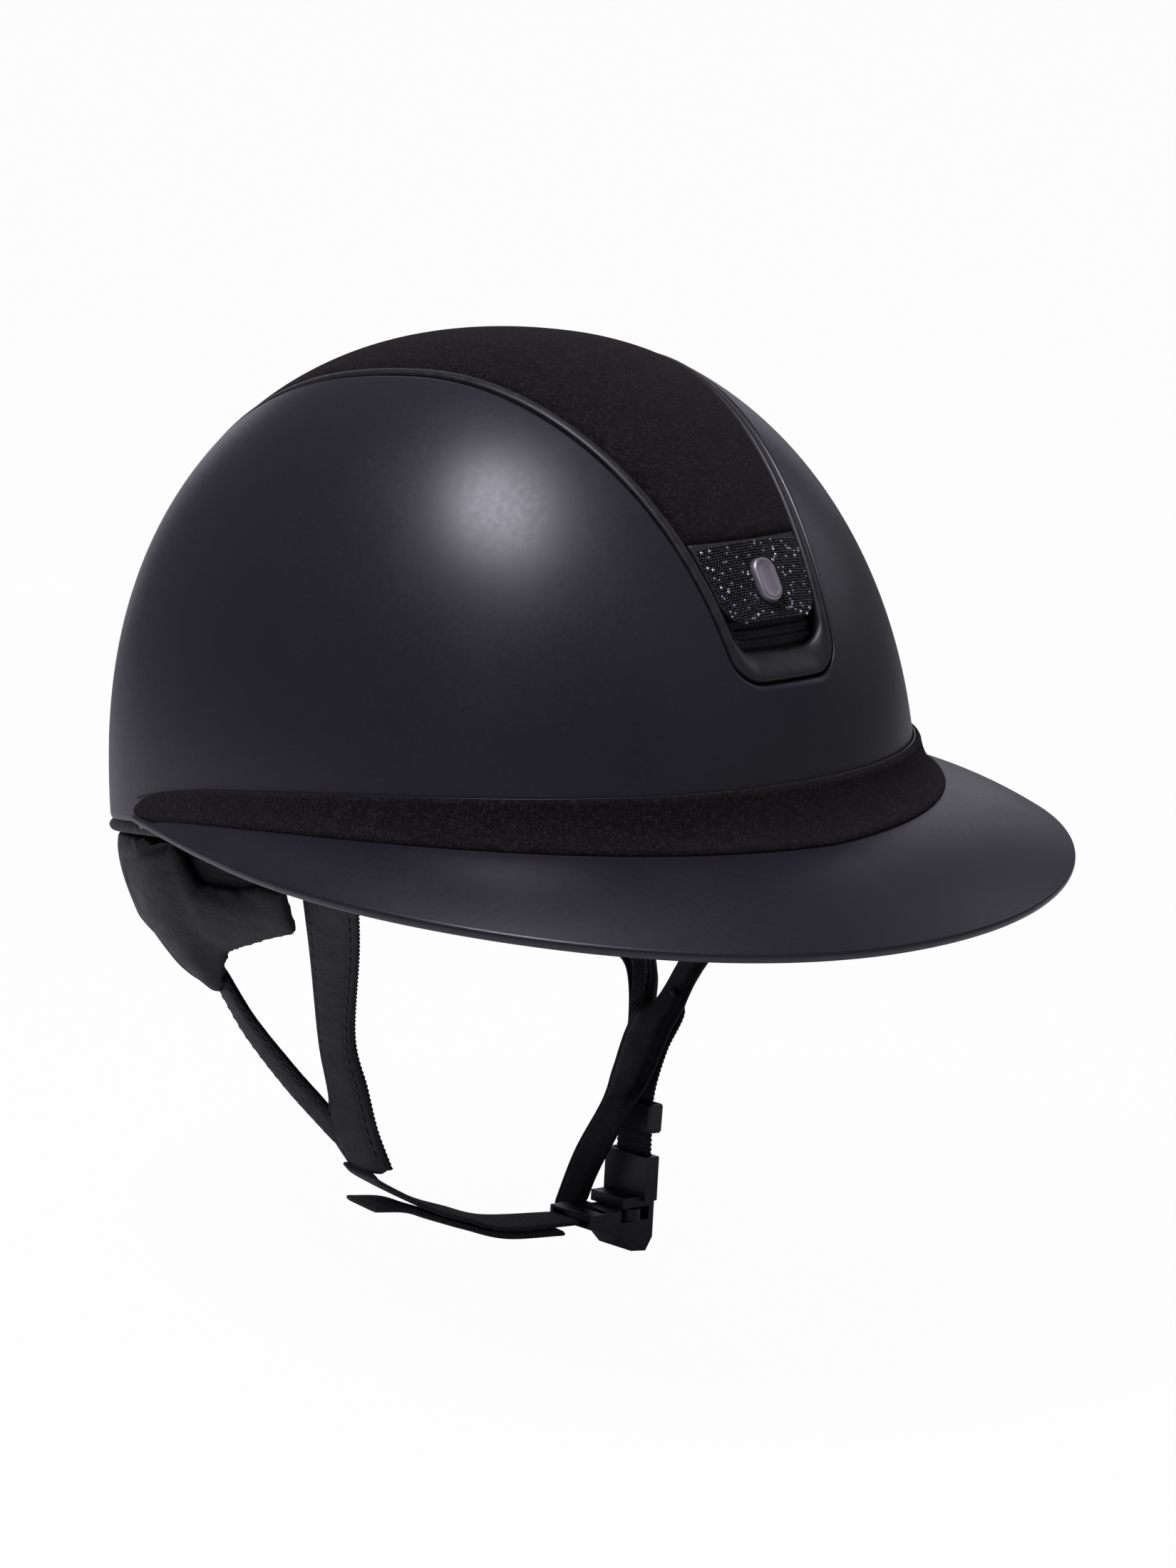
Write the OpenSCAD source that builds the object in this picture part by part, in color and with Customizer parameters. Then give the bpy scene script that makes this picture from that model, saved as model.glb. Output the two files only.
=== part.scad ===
// Equestrian riding helmet: a moulded shell with a wide brim, a suede panel in a
// channel over the crown, a beaded insert above the front air intake, a padded liner
// and a four-point harness with a side-release buckle under the left cheek.
// Millimetres. The front is -Y, the wearer's right is -X and up is +Z. The origin is
// the middle of the head opening, level with the rim at the ears.

/* [Shell] */
// Half the width of the shell over the ears
shell_half_w = 107; // [100:0.5:112]
// Reach of the shell forwards from the origin
shell_front = 125; // [118:0.5:130]
// Reach of the shell backwards from the origin
shell_rear = 145; // [138:0.5:150]
// Height of the crown above the rim
crown_h = 139; // [132:0.5:144]
// How far behind the origin the top of the crown sits
crown_shift = -2; // [-6:0.5:4]
// Thickness of the shell
shell_t = 3.5; // [3:0.1:4]
// Roundness of the plan view, 2 being an ellipse
plan_power = 2.08; // [2:0.01:2.3]
// Roundness of the front profile
front_power = 2; // [1.9:0.01:2.2]
// Roundness of the rear profile
rear_power = 2.25; // [2:0.01:2.5]
// Roundness of the side profile
side_power = 2.15; // [2:0.01:2.4]
// How far the rim drops behind the ears
rim_drop = 24; // [20:0.5:28]

/* [Brim] */
// Reach of the brim in front of the shell
brim_front = 51; // [40:0.5:56]
// Plan angle from the front at which the brim's tails end
brim_tail_angle = 113; // [110:0.5:116]
// Height of the brim's edge beside the ears
brim_side_z = -2; // [-4:0.5:0]
// How much lower the front edge is than the side edges
brim_front_drop = 12; // [8:0.5:16]
// Thickness of the brim near its edge
brim_t = 3; // [2.4:0.1:3.6]
// Height of the top of the suede band at the front
band_top_z = 22.5; // [20:0.5:25]
// How far the top of the band falls on its way to the tails
band_fall = 19.5; // [17:0.5:20]
// Height of the suede band at the front
band_front_h = 17; // [15:0.5:19]
// Offset of the lower edge of the band from the shell at the front
band_front_offset = 10; // [8:0.5:12]

/* [Top channel] */
// Half the width of the channel at its front end
channel_front_half_w = 16.8; // [15:0.2:18]
// Half the width of the channel behind the crown
channel_rear_half_w = 45.5; // [40:0.5:48]
// Height of the front end of the channel
channel_front_z = 50; // [46:0.5:56]
// Height of the rear end of the channel
channel_rear_z = 56; // [50:0.5:66]
// Height of the air outlet between the top panel and the rear end of the channel
outlet_h = 13; // [10:0.5:16]
// Radius of the corners at both ends of the channel
channel_corner_r = 9; // [6:0.5:11]
// Width of the channel frame along the sides of the channel
frame_w = 3.6; // [3:0.1:4.5]
// Width of the frame's ramp below the front air intake
ramp_w = 9.5; // [8:0.25:11]
// Height of the lower edge of the beaded insert
insert_low_z = 66.5; // [64:0.5:69]
// Height of the upper edge of the beaded insert
insert_high_z = 87.5; // [84:0.5:92]

/* [Liner] */
// Thickness of the foam liner
foam_t = 17; // [16:0.5:20]
// Space between the shell and the foam, for the strap anchors
anchor_gap = 3; // [2.6:0.1:3.4]
// Thickness of the comfort padding
pad_t = 5; // [4:0.5:6]

/* [Nape] */
// Radius of the piping round the rear of the rim
piping_r = 1.7; // [1.4:0.1:2]
// Height of the lower edge of the nape cover at the back
nape_low_z = -47; // [-50:0.5:-44]
// Height of the nape cover's tongues, where the rear straps leave it
nape_tongue_z = -57; // [-59:0.5:-54]
// Thickness of the nape cover
nape_t = 5; // [4:0.5:6]

/* [Harness] */
// Width of the harness webbing
webbing_w = 15; // [14:0.5:16]
// Thickness of one layer of webbing
webbing_t = 1.8; // [1.4:0.1:2]
// Thickness of the padded sleeves
sleeve_t = 3.4; // [2.8:0.1:3.8]
// Distance of the front anchor rivets in front of the origin
anchor_y = 20; // [19:0.5:21]
// Radius of the front anchor rivets
rivet_r = 2.5; // [2:0.1:3]

/* [Buckle] */
// Tilt of the buckle, rising towards the left side
buckle_tilt = -4; // [-6:0.5:0]
// Width of the buckle body
buckle_w = 15; // [14:0.5:16]
// Thickness of the plug and its arms
plug_t = 3.6; // [3:0.1:4]
// Half the thickness of the slot in the socket that takes the plug
socket_slot = 2.1; // [2.05:0.05:2.4]

/* [Hidden] */
$fn = 48;

shell_colour = "#15171c";
suede_colour = "#241d20";
leather_colour = "#17171a";
plastic_colour = "#1c1c1f";
webbing_colour = "#101012";
metal_colour = "#6d6a6c";
foam_colour = "#1a1a1c";

clear = 0.25;
foam_inset = shell_t + anchor_gap;
pad_gap = 2;
pad_inset = foam_inset + foam_t + pad_gap;
plate_inset = 3.2;
plate_t = 1.6;
suede_t = 2;
insert_middle_z = (insert_low_z + insert_high_z) / 2;
insert_lean = 60;
shell_columns = 80;
brim_columns = 56;
frame_gap = 0.5;
panel_edge = frame_w + 0.5;
chin_y = -3;
tongue_angle = 112;
anchor_x = shell_half_w - foam_inset - 1.1;
anchor_z = -7;
plug_start = [5, chin_y, -134.5];

// ---------------------------------------------------------------- shell surface

function spow(v, e) = sign(v) * pow(abs(v), e);

// Profile exponent at plan angle u, which is 0 at the front and 90 at the left ear.
function profile_power(u) =
    (cos(u) > 0 ? front_power : rear_power) * pow(cos(u), 2)
    + side_power * pow(sin(u), 2);

// Point of the shell at plan angle u and elevation t, moved inwards by inset.
function shell_pt(u, t, inset = 0) =
    let (e = profile_power(u))
    let (reach = pow(abs(cos(t)), 2 / e))
    let (rise = spow(sin(t), 2 / e))
    let (length = (cos(u) > 0 ? shell_front : shell_rear) - inset)
    [
        (shell_half_w - inset) * spow(sin(u), 2 / plan_power) * reach,
        -length * spow(cos(u), 2 / plan_power) * reach + crown_shift * rise * abs(rise),
        (crown_h - inset) * rise
    ];

// Elevation at which the shell reaches height z.
function tilt_at(u, z, inset = 0) =
    asin(max(-1, min(1, spow(z / (crown_h - inset), profile_power(u) / 2))));

function shell_at(u, z, inset = 0) = shell_pt(u, tilt_at(u, z, inset), inset);

// Plan angle of the front point that has the sideways position x at height z.
function plan_angle(x, z, rounds = 5) =
    rounds == 0 ? 0 :
    let (u = plan_angle(x, z, rounds - 1))
    let (reach = pow(cos(tilt_at(u, z)), 2 / profile_power(u)))
    asin(min(1, pow(abs(x) / (shell_half_w * reach), plan_power / 2))) * sign(x);

// Point of the front under the outer surface's point at x and z.
function front_pt(x, z, inset) = let (u = plan_angle(x, z)) shell_pt(u, tilt_at(u, z), inset);

// Height of the lower edge of the shell.
function rim_z(u) = abs(u) <= 90 ? 0 : -rim_drop * pow(sin(abs(u) - 90), 1.5);

// Plan angles all round, closer together at the front and the rear.
function ring_angles(n) = [
    for (i = [0:n - 1]) let (v = -180 + 360 * i / n) v - 22 * sin(2 * v)
];

function mix(a, b, s) = a + (b - a) * s;
function ease(s) = let (c = max(0, min(1, s))) c * c * (3 - 2 * c);

// ---------------------------------------------------------------- solids from grids

function signed_volume(pts, faces) =
    let (parts = [for (f = faces) cross(pts[f[0]], pts[f[1]]) * pts[f[2]]])
    parts * [for (f = faces) 1];

// A closed solid from points and triangles, turned the right way out.
module solid(pts, faces) {
    turned = [for (f = faces) [f[2], f[1], f[0]]];
    polyhedron(points = pts, faces = signed_volume(pts, faces) > 0 ? turned : faces);
}

function quad(a, b, c, d) = [[a, b, c], [a, c, d]];

// A sheet with thickness: matching grids of outer and inner points, grid[i][j].
// closed joins the last row of the grid to the first.
module sheet(outer, inner, closed = false) {
    n = len(outer);
    m = len(outer[0]);
    pts = concat([for (r = outer) each r], [for (r = inner) each r]);
    low = n * m;
    faces = [
        for (i = [0:closed ? n - 1 : n - 2]) let (a = i * m, b = ((i + 1) % n) * m)
            each concat(
                [for (j = [0:m - 2]) each quad(a + j, b + j, b + j + 1, a + j + 1)],
                [for (j = [0:m - 2]) each quad(low + a + j, low + a + j + 1, low + b + j + 1, low + b + j)],
                quad(a, low + a, low + b, b),
                quad(a + m - 1, b + m - 1, low + b + m - 1, low + a + m - 1)
            )
    ];
    e = low - m;
    caps = closed ? [] : [
        for (j = [0:m - 2])
            each concat(
                quad(j, j + 1, low + j + 1, low + j),
                quad(e + j + 1, e + j, low + e + j, low + e + j + 1)
            )
    ];
    solid(pts, concat(faces, caps));
}

// A dome with thickness: closed rings from the edge upwards, then a pole.
module dome(outer, inner, outer_pole, inner_pole) {
    n = len(outer);
    m = len(outer[0]);
    pts = concat([for (r = outer) each r], [for (r = inner) each r], [outer_pole, inner_pole]);
    low = n * m;
    top = 2 * low;
    faces = [
        for (i = [0:n - 1]) let (a = i * m, b = ((i + 1) % n) * m)
            each concat(
                [for (j = [0:m - 2]) each quad(a + j, b + j, b + j + 1, a + j + 1)],
                [for (j = [0:m - 2]) each quad(low + a + j, low + a + j + 1, low + b + j + 1, low + b + j)],
                quad(a, low + a, low + b, b),
                [[a + m - 1, b + m - 1, top], [low + b + m - 1, low + a + m - 1, top + 1]]
            )
    ];
    solid(pts, faces);
}

// A tube of any round section: rings of points, joined end to end or capped.
module rope(path, r, sides = 10) {
    n = len(path);
    rings = [
        for (i = [0:n - 1])
            let (along = unit(path[min(n - 1, i + 1)] - path[max(0, i - 1)]))
            let (side = unit(cross(along, [0, 0, 1])))
            let (up = cross(side, along))
            [for (k = [0:sides - 1]) path[i] + r * (cos(360 * k / sides) * side + sin(360 * k / sides) * up)]
    ];
    pts = concat([for (g = rings) each g], [path[0], path[n - 1]]);
    e = (n - 1) * sides;
    faces = concat(
        [for (i = [0:n - 2], k = [0:sides - 1])
            let (a = i * sides, b = a + sides, l = (k + 1) % sides)
            each quad(a + k, b + k, b + l, a + l)],
        [for (k = [0:sides - 1]) let (l = (k + 1) % sides) each [
            [k, l, n * sides],
            [e + l, e + k, n * sides + 1]
        ]]
    );
    solid(pts, faces);
}

function unit(v) = v / norm(v);

// Smooth curve through the points p, at s from 0 to len(p) - 1.
function curve(p, s) =
    let (i = min(len(p) - 2, floor(s)), f = s - i)
    let (b = p[i], c = p[i + 1])
    let (a = i > 0 ? p[i - 1] : 2 * b - c)
    let (d = i < len(p) - 2 ? p[i + 2] : 2 * c - b)
    b + 0.5 * f * ((c - a) + f * ((2 * a - 5 * b + 4 * c - d) + f * (3 * b - a - 3 * c + d)));

function curve_points(p, n) = [for (i = [0:n]) curve(p, (len(p) - 1) * i / n)];

// A padded strap between two edge curves, t thick in the middle, moved sideways by lift.
module strap(front, rear, t, lift = 0, n = 16) {
    a = curve_points(front, n);
    b = curve_points(rear, n);
    normals = [
        for (i = [0:n])
            let (along = (a[min(n, i + 1)] + b[min(n, i + 1)]) - (a[max(0, i - 1)] + b[max(0, i - 1)]))
            unit(cross(along, b[i] - a[i]))
    ];
    crown = [0.55, 1, 1, 0.55];
    function face(side) = [
        for (i = [0:n])
            [for (j = [0:3]) mix(a[i], b[i], j / 3) + normals[i] * (lift + side * crown[j] * t / 2)]
    ];
    sheet(face(1), face(-1));
}

module mirrored() {
    children();
    mirror([1, 0, 0]) children();
}

// ---------------------------------------------------------------- top channel

// Half the width of the channel where the shell has the front-to-back position y.
function channel_half_w(y) =
    let (q = max(0, (y + shell_front) / shell_front))
    mix(channel_front_half_w, channel_rear_half_w, sin(90 * min(1, q / 1.3)));

// Whether the point p is inside the channel, narrowed by edge and ending at these heights.
function in_channel(p, edge, z_front, z_rear, r) =
    let (w = channel_half_w(p.y) - edge)
    let (z_end = p.y < 0 ? z_front : z_rear)
    let (past_x = abs(p.x) - (w - r), past_z = z_end + r - p.z)
    abs(p.x) < w && p.z > z_end && !(past_x > 0 && past_z > 0 && norm([past_x, past_z]) > r);

// Elevation at which the line of plan angle u enters the channel, by halving.
function channel_tilt(u, edge, z_front, z_rear, r, low = 0, high = 90, rounds = 15) =
    rounds == 0 ? (low + high) / 2 :
    let (middle = (low + high) / 2)
    in_channel(shell_pt(u, middle), edge, z_front, z_rear, r)
        ? channel_tilt(u, edge, z_front, z_rear, r, low, middle, rounds - 1)
        : channel_tilt(u, edge, z_front, z_rear, r, middle, high, rounds - 1);

function corner_r(edge) = max(2, channel_corner_r - edge);
function edge_tilt(u, edge) =
    channel_tilt(u, edge, channel_front_z + edge, channel_rear_z + edge, corner_r(edge));

// ---------------------------------------------------------------- brim outline

function brim_reach(u) =
    1.6 + (brim_front - 1.6) * 0.5 * (1 + cos(180 * pow(abs(u) / brim_tail_angle, 1.5)));
function brim_edge_z(u) = brim_side_z - brim_front_drop * pow(max(0, cos(u)), 3);
function band_high(u) = band_top_z - band_fall * pow(abs(u) / brim_tail_angle, 4);
function band_low(u) = band_high(u) - band_front_h * (1 - 0.51 * abs(u) / brim_tail_angle);
function band_offset(u) = 1.2 + (band_front_offset - 1.2) * cos(90 * u / brim_tail_angle);

// Point out of the shell by d at plan angle u and height z.
function beside_shell(u, d, z) =
    let (p = shell_at(u, max(z, 0)))
    [p.x + d * sin(u), p.y - d * cos(u), z];

// Quadratic curve through a and c, pulled towards b.
function bend(a, b, c, s) = mix(mix(a, b, s), mix(b, c, s), s);

// Profile of the concave flare under the band, then of the domed top of the brim.
// Each profile point is [distance from the shell, height].
function flare(u, s) =
    bend(
        [0.9, band_high(u)],
        [1.1, mix(band_low(u), band_high(u), 0.25)],
        [band_offset(u), band_low(u)],
        s
    );
function brim_top(u, s) =
    let (a = [band_offset(u), band_low(u)], c = [brim_reach(u), brim_edge_z(u)])
    bend(a, mix(a, c, 0.5) + [0, 0.1 * norm(c - a)], c, s);
function brim_under(u, s) =
    let (a = [clear, min(0, band_low(u) - 2)], c = [brim_reach(u) - 0.8, brim_edge_z(u) - brim_t])
    bend(a, mix(a, c, 0.5) + [0, 0.12 * norm(c - a)], c, s);

// ---------------------------------------------------------------- shell group

module outer_shell() {
    rows = 13;
    angles = ring_angles(shell_columns);
    function column(u, inset) = [
        for (j = [0:rows])
            shell_pt(u, mix(tilt_at(u, rim_z(u)), edge_tilt(u, 0), j / rows), inset)
    ];
    color(shell_colour)
        sheet([for (u = angles) column(u, 0)], [for (u = angles) column(u, shell_t)], closed = true);
}

// Trim flush with the shell: a narrow strip along the sides of the channel that turns into
// a ramp below the front air intake.
module channel_frame() {
    angles = ring_angles(shell_columns);
    side = [frame_gap, frame_gap + 0.4, frame_w - 1, frame_w - 0.2, frame_w];
    side_inset = [0.4, 0, 0, 0.5, 1.8];
    ramp = [frame_gap, 1.2, 0.47 * ramp_w, 0.84 * ramp_w, ramp_w];
    ramp_inset = [0.4, 0.1, 1, 3, 4.4];
    foot_inset = shell_t + 1.5;
    // How much of the ramp's shape the frame has at plan angle u.
    function front_share(u) = ease((10 - abs(u)) / 5);
    function tilt(u, k) =
        channel_tilt(u, side[k], channel_front_z + ramp[k], channel_rear_z + side[k], corner_r(side[k]));
    color(shell_colour)
        sheet(
            [for (u = angles) [for (k = [0:4])
                shell_pt(u, tilt(u, k), mix(side_inset[k], ramp_inset[k], front_share(u)))]],
            [for (u = angles) [for (k = [0:4]) shell_pt(u, tilt(u, k), foot_inset)]],
            closed = true
        );
}

// A dome that fills the channel behind the beaded insert, between two insets.
module channel_fill(high, low) {
    rows = 6;
    angles = ring_angles(shell_columns);
    z_front = insert_high_z + 1;
    z_rear = channel_rear_z + panel_edge + outlet_h;
    function column(u, inset) =
        let (start = channel_tilt(u, panel_edge, z_front, z_rear, corner_r(panel_edge)))
        [for (j = [0:rows - 1]) shell_pt(u, mix(start, 90, j / rows), inset)];
    dome(
        [for (u = angles) column(u, high)],
        [for (u = angles) column(u, low)],
        shell_pt(0, 90, high),
        shell_pt(0, 90, low)
    );
}

module top_panel_plate() {
    color(plastic_colour) channel_fill(plate_inset, plate_inset + plate_t);
}

module top_panel_suede() {
    color(suede_colour) channel_fill(plate_inset - suede_t - 0.2, plate_inset - 0.2);
}

// A patch across the front end of the channel, from one height to another.
module front_patch(z_low, z_high, side_gap, high, low, rows = 6, columns = 8) {
    function half(z) = channel_half_w(shell_at(0, z).y) - panel_edge - side_gap;
    function grid(inset) = [
        for (i = [0:rows]) let (z = mix(z_low, z_high, i / rows))
            [for (j = [0:columns]) front_pt(half(z) * (2 * j / columns - 1), z, inset)]
    ];
    sheet(grid(high), grid(low));
}

module insert_plate() {
    color(plastic_colour) front_patch(insert_low_z, insert_high_z, 0.3, 1.6, 1.6 + plate_t);
}

module insert_beads() {
    color("#08080a") front_patch(insert_low_z + 0.6, insert_high_z - 0.6, 0.8, 0.2, 1.4);
}

// Small cut stones scattered over the bead field by the golden angle, clear of the badge.
module insert_crystals() {
    stone_count = 20;
    stone_r = 0.65;
    stone_h = 0.9;
    golden_angle = 137.508;
    spread_x = 12;
    spread_z = 9.6;
    inner_share = 0.62;
    outer_share = 0.98;
    color("silver")
        for (i = [0:stone_count - 1]) {
            ring = mix(inner_share, outer_share, ((i * 7) % stone_count) / stone_count);
            x = spread_x * ring * cos(golden_angle * i);
            z = insert_middle_z + spread_z * ring * sin(golden_angle * i);
            translate(front_pt(x, z, 0.1))
                rotate([insert_lean, 0, plan_angle(x, z)])
                    cylinder(r = stone_r, h = stone_h, $fn = 16);
        }
}

// Plain pill-shaped plate on the beads.
module badge() {
    round_r = 3.9;
    length = 13;
    thickness = 1.6;
    color(metal_colour)
        translate(front_pt(0, insert_middle_z, 0) + [0, -0.4, 0.2])
            rotate([insert_lean, 0, 0])
                linear_extrude(thickness)
                    union() {
                        translate([0, length / 2 - round_r]) circle(r = round_r);
                        translate([0, round_r - length / 2]) circle(r = round_r);
                        square([2 * round_r, length - 2 * round_r], center = true);
                    }
}

module front_vent_mesh() {
    color("#050506") front_patch(channel_front_z + 8.5, insert_high_z - 4, 0.6, 5.3, 6.2);
}

// Slats and two uprights across the rear air outlet, below the end of the top panel.
module rear_vent_grille() {
    slat_count = 4;
    slat_h = 1.4;
    half_angle = 18;
    upright_angle = 1.2;
    low = channel_rear_z + panel_edge + 0.6;
    high = low + outlet_h - 2;
    step = (high - low - slat_h) / (slat_count - 1);
    function row(z, inset, from, to) = [
        for (j = [0:10]) let (u = 180 + mix(from, to, j / 10)) shell_pt(u, tilt_at(u, z), inset)
    ];
    module bar(z_low, z_high, from, to) {
        sheet(
            [row(z_low, plate_inset, from, to), row(z_high, plate_inset, from, to)],
            [row(z_low, plate_inset + plate_t, from, to), row(z_high, plate_inset + plate_t, from, to)]
        );
    }
    color(plastic_colour)
        union() {
            for (i = [0:slat_count - 1])
                bar(low + i * step, low + i * step + slat_h, -half_angle, half_angle);
            bar(low, high, -half_angle, upright_angle - half_angle);
            bar(low, high, half_angle - upright_angle, half_angle);
        }
}

module brim() {
    flare_steps = 4;
    top_steps = 6;
    last = brim_tail_angle;
    angles = [for (i = [0:brim_columns]) mix(-last, last, i / brim_columns)];
    function top(u) = concat(
        [for (j = [0:flare_steps]) flare(u, j / flare_steps)],
        [for (j = [1:top_steps]) brim_top(u, j / top_steps)]
    );
    function under(u) = concat(
        [for (j = [0:flare_steps]) [clear, mix(band_high(u), brim_under(u, 0)[1], j / flare_steps)]],
        [for (j = [1:top_steps]) brim_under(u, j / top_steps)]
    );
    color(shell_colour)
        sheet(
            [for (u = angles) [for (p = top(u)) beside_shell(u, p[0], p[1])]],
            [for (u = angles) [for (p = under(u)) beside_shell(u, p[0], p[1])]]
        );
}

module brim_band() {
    steps = 5;
    last = brim_tail_angle - 0.5;
    end_round = 7;
    angles = [for (i = [0:brim_columns]) mix(-last, last, i / brim_columns)];
    // Share of the band's full height left at plan angle u, rounding both ends off.
    function share(u) =
        let (past = max(0, (abs(u) - last + end_round) / end_round))
        sqrt(max(0.04, 1 - past * past));
    function face(u, lift) = [
        for (j = [0:steps])
            let (s = 0.5 + (j / steps - 0.5) * share(u))
            let (p = flare(u, s), tip = 75 * s)
            beside_shell(u, p[0] + lift * cos(tip), p[1] + lift * sin(tip))
    ];
    color(suede_colour)
        sheet([for (u = angles) face(u, 1.3)], [for (u = angles) face(u, 0.15)]);
}

// ---------------------------------------------------------------- liner

module foam_liner() {
    rows = 10;
    angles = ring_angles(48);
    function column(u, inset) =
        let (start = tilt_at(u, rim_z(u) + 4, inset))
        [for (j = [0:rows - 1]) shell_pt(u, mix(start, 90, j / rows), inset)];
    color("#3a3a3d")
        dome(
            [for (u = angles) column(u, foam_inset)],
            [for (u = angles) column(u, foam_inset + foam_t)],
            shell_pt(0, 90, foam_inset),
            shell_pt(0, 90, foam_inset + foam_t)
        );
}

module crown_pad() {
    angles = ring_angles(36);
    function column(u, inset) = [for (t = [50, 60, 70, 80]) shell_pt(u, t, inset)];
    color(foam_colour)
        dome(
            [for (u = angles) column(u, pad_inset)],
            [for (u = angles) column(u, pad_inset + pad_t)],
            shell_pt(0, 90, pad_inset),
            shell_pt(0, 90, pad_inset + pad_t)
        );
}

function headband_low(u) = mix(4, -12, ease((abs(u) - 55) / 40));

module headband_pad() {
    angles = ring_angles(48);
    high_z = 42;
    heights = [0, 0.08, 0.3, 0.7, 0.92, 1];
    rounding = [1.4, 0.3, 0, 0, 0.3, 1.4];
    function face(u, inset, way) = [
        for (j = [0:5])
            shell_at(u, mix(headband_low(u), high_z, heights[j]), inset + way * rounding[j])
    ];
    color(foam_colour)
        sheet(
            [for (u = angles) face(u, pad_inset, 1)],
            [for (u = angles) face(u, pad_inset + pad_t, -1)],
            closed = true
        );
}

// Hook tabs that hold the comfort padding to the foam.
module liner_tabs() {
    tab_inset = foam_inset + foam_t + 0.8;
    hook_t = 0.5;
    function row(u, z, inset) = [for (v = [-5, 0, 5]) shell_at(u + v, z, inset)];
    function face(u, inset) = [row(u, 14, inset), row(u, 26, inset)];
    color("#0c0c0d")
        for (u = [-150:60:150])
            sheet(face(u, tab_inset), face(u, tab_inset + hook_t));
}

module rim_piping() {
    path = [
        for (i = [0:60]) let (u = mix(101, 259, i / 60))
            let (v = u > 180 ? u - 360 : u)
            shell_at(v, rim_z(v) - piping_r - 0.3, 1.2)
    ];
    color(leather_colour) rope(path, piping_r);
}

// How far the nape cover is on its way from the back (0) to its side wings (1).
function wing(u) = ease((118 - abs(u)) / 26);
// Its upper edge follows the rim round the back and drops at the wings, where lining shows.
function nape_high(u) =
    mix(
        rim_z(u) - 2 * piping_r - 0.8,
        mix(-18, -23, ease((abs(u) - 91) / 10)),
        ease((118 - abs(u)) / 6)
    );
function nape_low(u) =
    let (a = abs(u), past = max(0, tongue_angle - a))
    mix(nape_low_z, nape_tongue_z, ease((142 - a) / 28)) + 10 * ease(past / 7) + 0.8 * past;

module nape_cover() {
    steps = 6;
    columns = 66;
    angles = [for (i = [0:columns]) let (u = mix(91, 269, i / columns)) u > 180 ? u - 360 : u];
    // The cover lies under the shell at the back and closer to the head at the tongues and wings.
    function depth(u, s) =
        mix(1, 11.5, wing(u)) + mix(mix(1, 10, ease((145 - abs(u)) / 20)), 3, wing(u)) * s * s;
    function face(u, side) = [
        for (j = [0:steps])
            let (s = j / steps)
            let (half = nape_t * (0.35 + 0.65 * sin(180 * s)) / 2)
            shell_at(u, mix(nape_high(u), nape_low(u), s), depth(u, s) + nape_t / 2 + side * half)
    ];
    color(leather_colour)
        sheet([for (u = angles) face(u, -1)], [for (u = angles) face(u, 1)]);
}

// Edging along the lower rear of the nape cover.
module nape_piping() {
    path = [
        for (i = [0:40]) let (u = mix(146, 214, i / 40))
            let (v = u > 180 ? u - 360 : u)
            shell_at(v, nape_low(v) - 1.6, 4.5)
    ];
    color(leather_colour) rope(path, 1.1, 8);
}

// ---------------------------------------------------------------- harness anchors

tab_t = 1.2;
tab_w = 12;
rivet_l = 7;

// Steel tabs in the space beside the foam, each with the rivet that a strap turns on.
module front_anchors() {
    color(metal_colour)
        mirrored()
            union() {
                translate([anchor_x, -anchor_y - tab_w / 2, anchor_z - 5])
                    cube([tab_t, tab_w, 22]);
                translate([anchor_x - rivet_l, -anchor_y, anchor_z])
                    rotate([0, 90, 0]) cylinder(r = rivet_r, h = rivet_l + 0.5);
                translate([anchor_x - rivet_l - 1, -anchor_y, anchor_z])
                    rotate([0, 90, 0]) cylinder(r = rivet_r + 1.7, h = 1.2);
            }
}

module rear_anchors() {
    at_angle = 140;
    facing = atan2(-shell_half_w * cos(at_angle), shell_rear * sin(at_angle));
    color(metal_colour)
        mirrored()
            translate(shell_at(at_angle, -8, shell_t + 1.6))
                rotate([0, 0, facing])
                    translate([-tab_t / 2, -tab_w / 2, -4])
                        cube([tab_t, tab_w, 14]);
}

// Pressed eyelets in the top ends of the front straps, free to turn on the rivets.
module front_eyelets() {
    color(metal_colour)
        mirrored()
            translate([anchor_x - 5, -anchor_y, anchor_z])
                rotate([0, 90, 0])
                    difference() {
                        cylinder(r = rivet_r + 3, h = 2.4);
                        translate([0, 0, -1]) cylinder(r = rivet_r + 0.06, h = 5);
                    }
}

// ---------------------------------------------------------------- straps

// Edge curves of the straps, from the helmet downwards.
// Both front sleeves widen where the rear sleeves are sewn to them.
right_front_edge = [
    [-90.5, -33, -15], [-84, -25, -33], [-76, -12, -62], [-71, -11.5, -78], [-67.5, -12.6, -92],
    [-64, -14, -104]
];
right_back_edge = [
    [-90, -7, -15], [-84, -3, -37], [-76, 3.4, -65], [-71, 5.3, -83], [-68.5, 9.5, -93],
    [-64, 2, -106.5]
];
right_rear_front_edge = [[-76.5, 41.5, -51.5], [-78, 29.5, -62.5], [-74, 17, -76.5], [-71.5, 8, -84]];
right_rear_back_edge = [[-72.5, 49, -59], [-74, 38, -70], [-72, 24.5, -83.5], [-69, 12.8, -93]];
left_front_edge = [
    [90.5, -33, -15], [82, -25, -33], [64, -12, -62], [55.5, -11, -75], [51, -10.5, -81],
    [42.5, -11, -94], [35.5, -9.3, -104], [33.2, 2.4, -125], [32.2, 7.6, -137]
];
left_back_edge = [
    [90, -7, -15], [83, -3, -37], [70, 5, -64], [63, 8.5, -76.5], [57, 14, -83],
    [47, 11, -96], [38, 6, -104], [31.2, 11.5, -120], [27.8, 18, -139]
];
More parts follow.
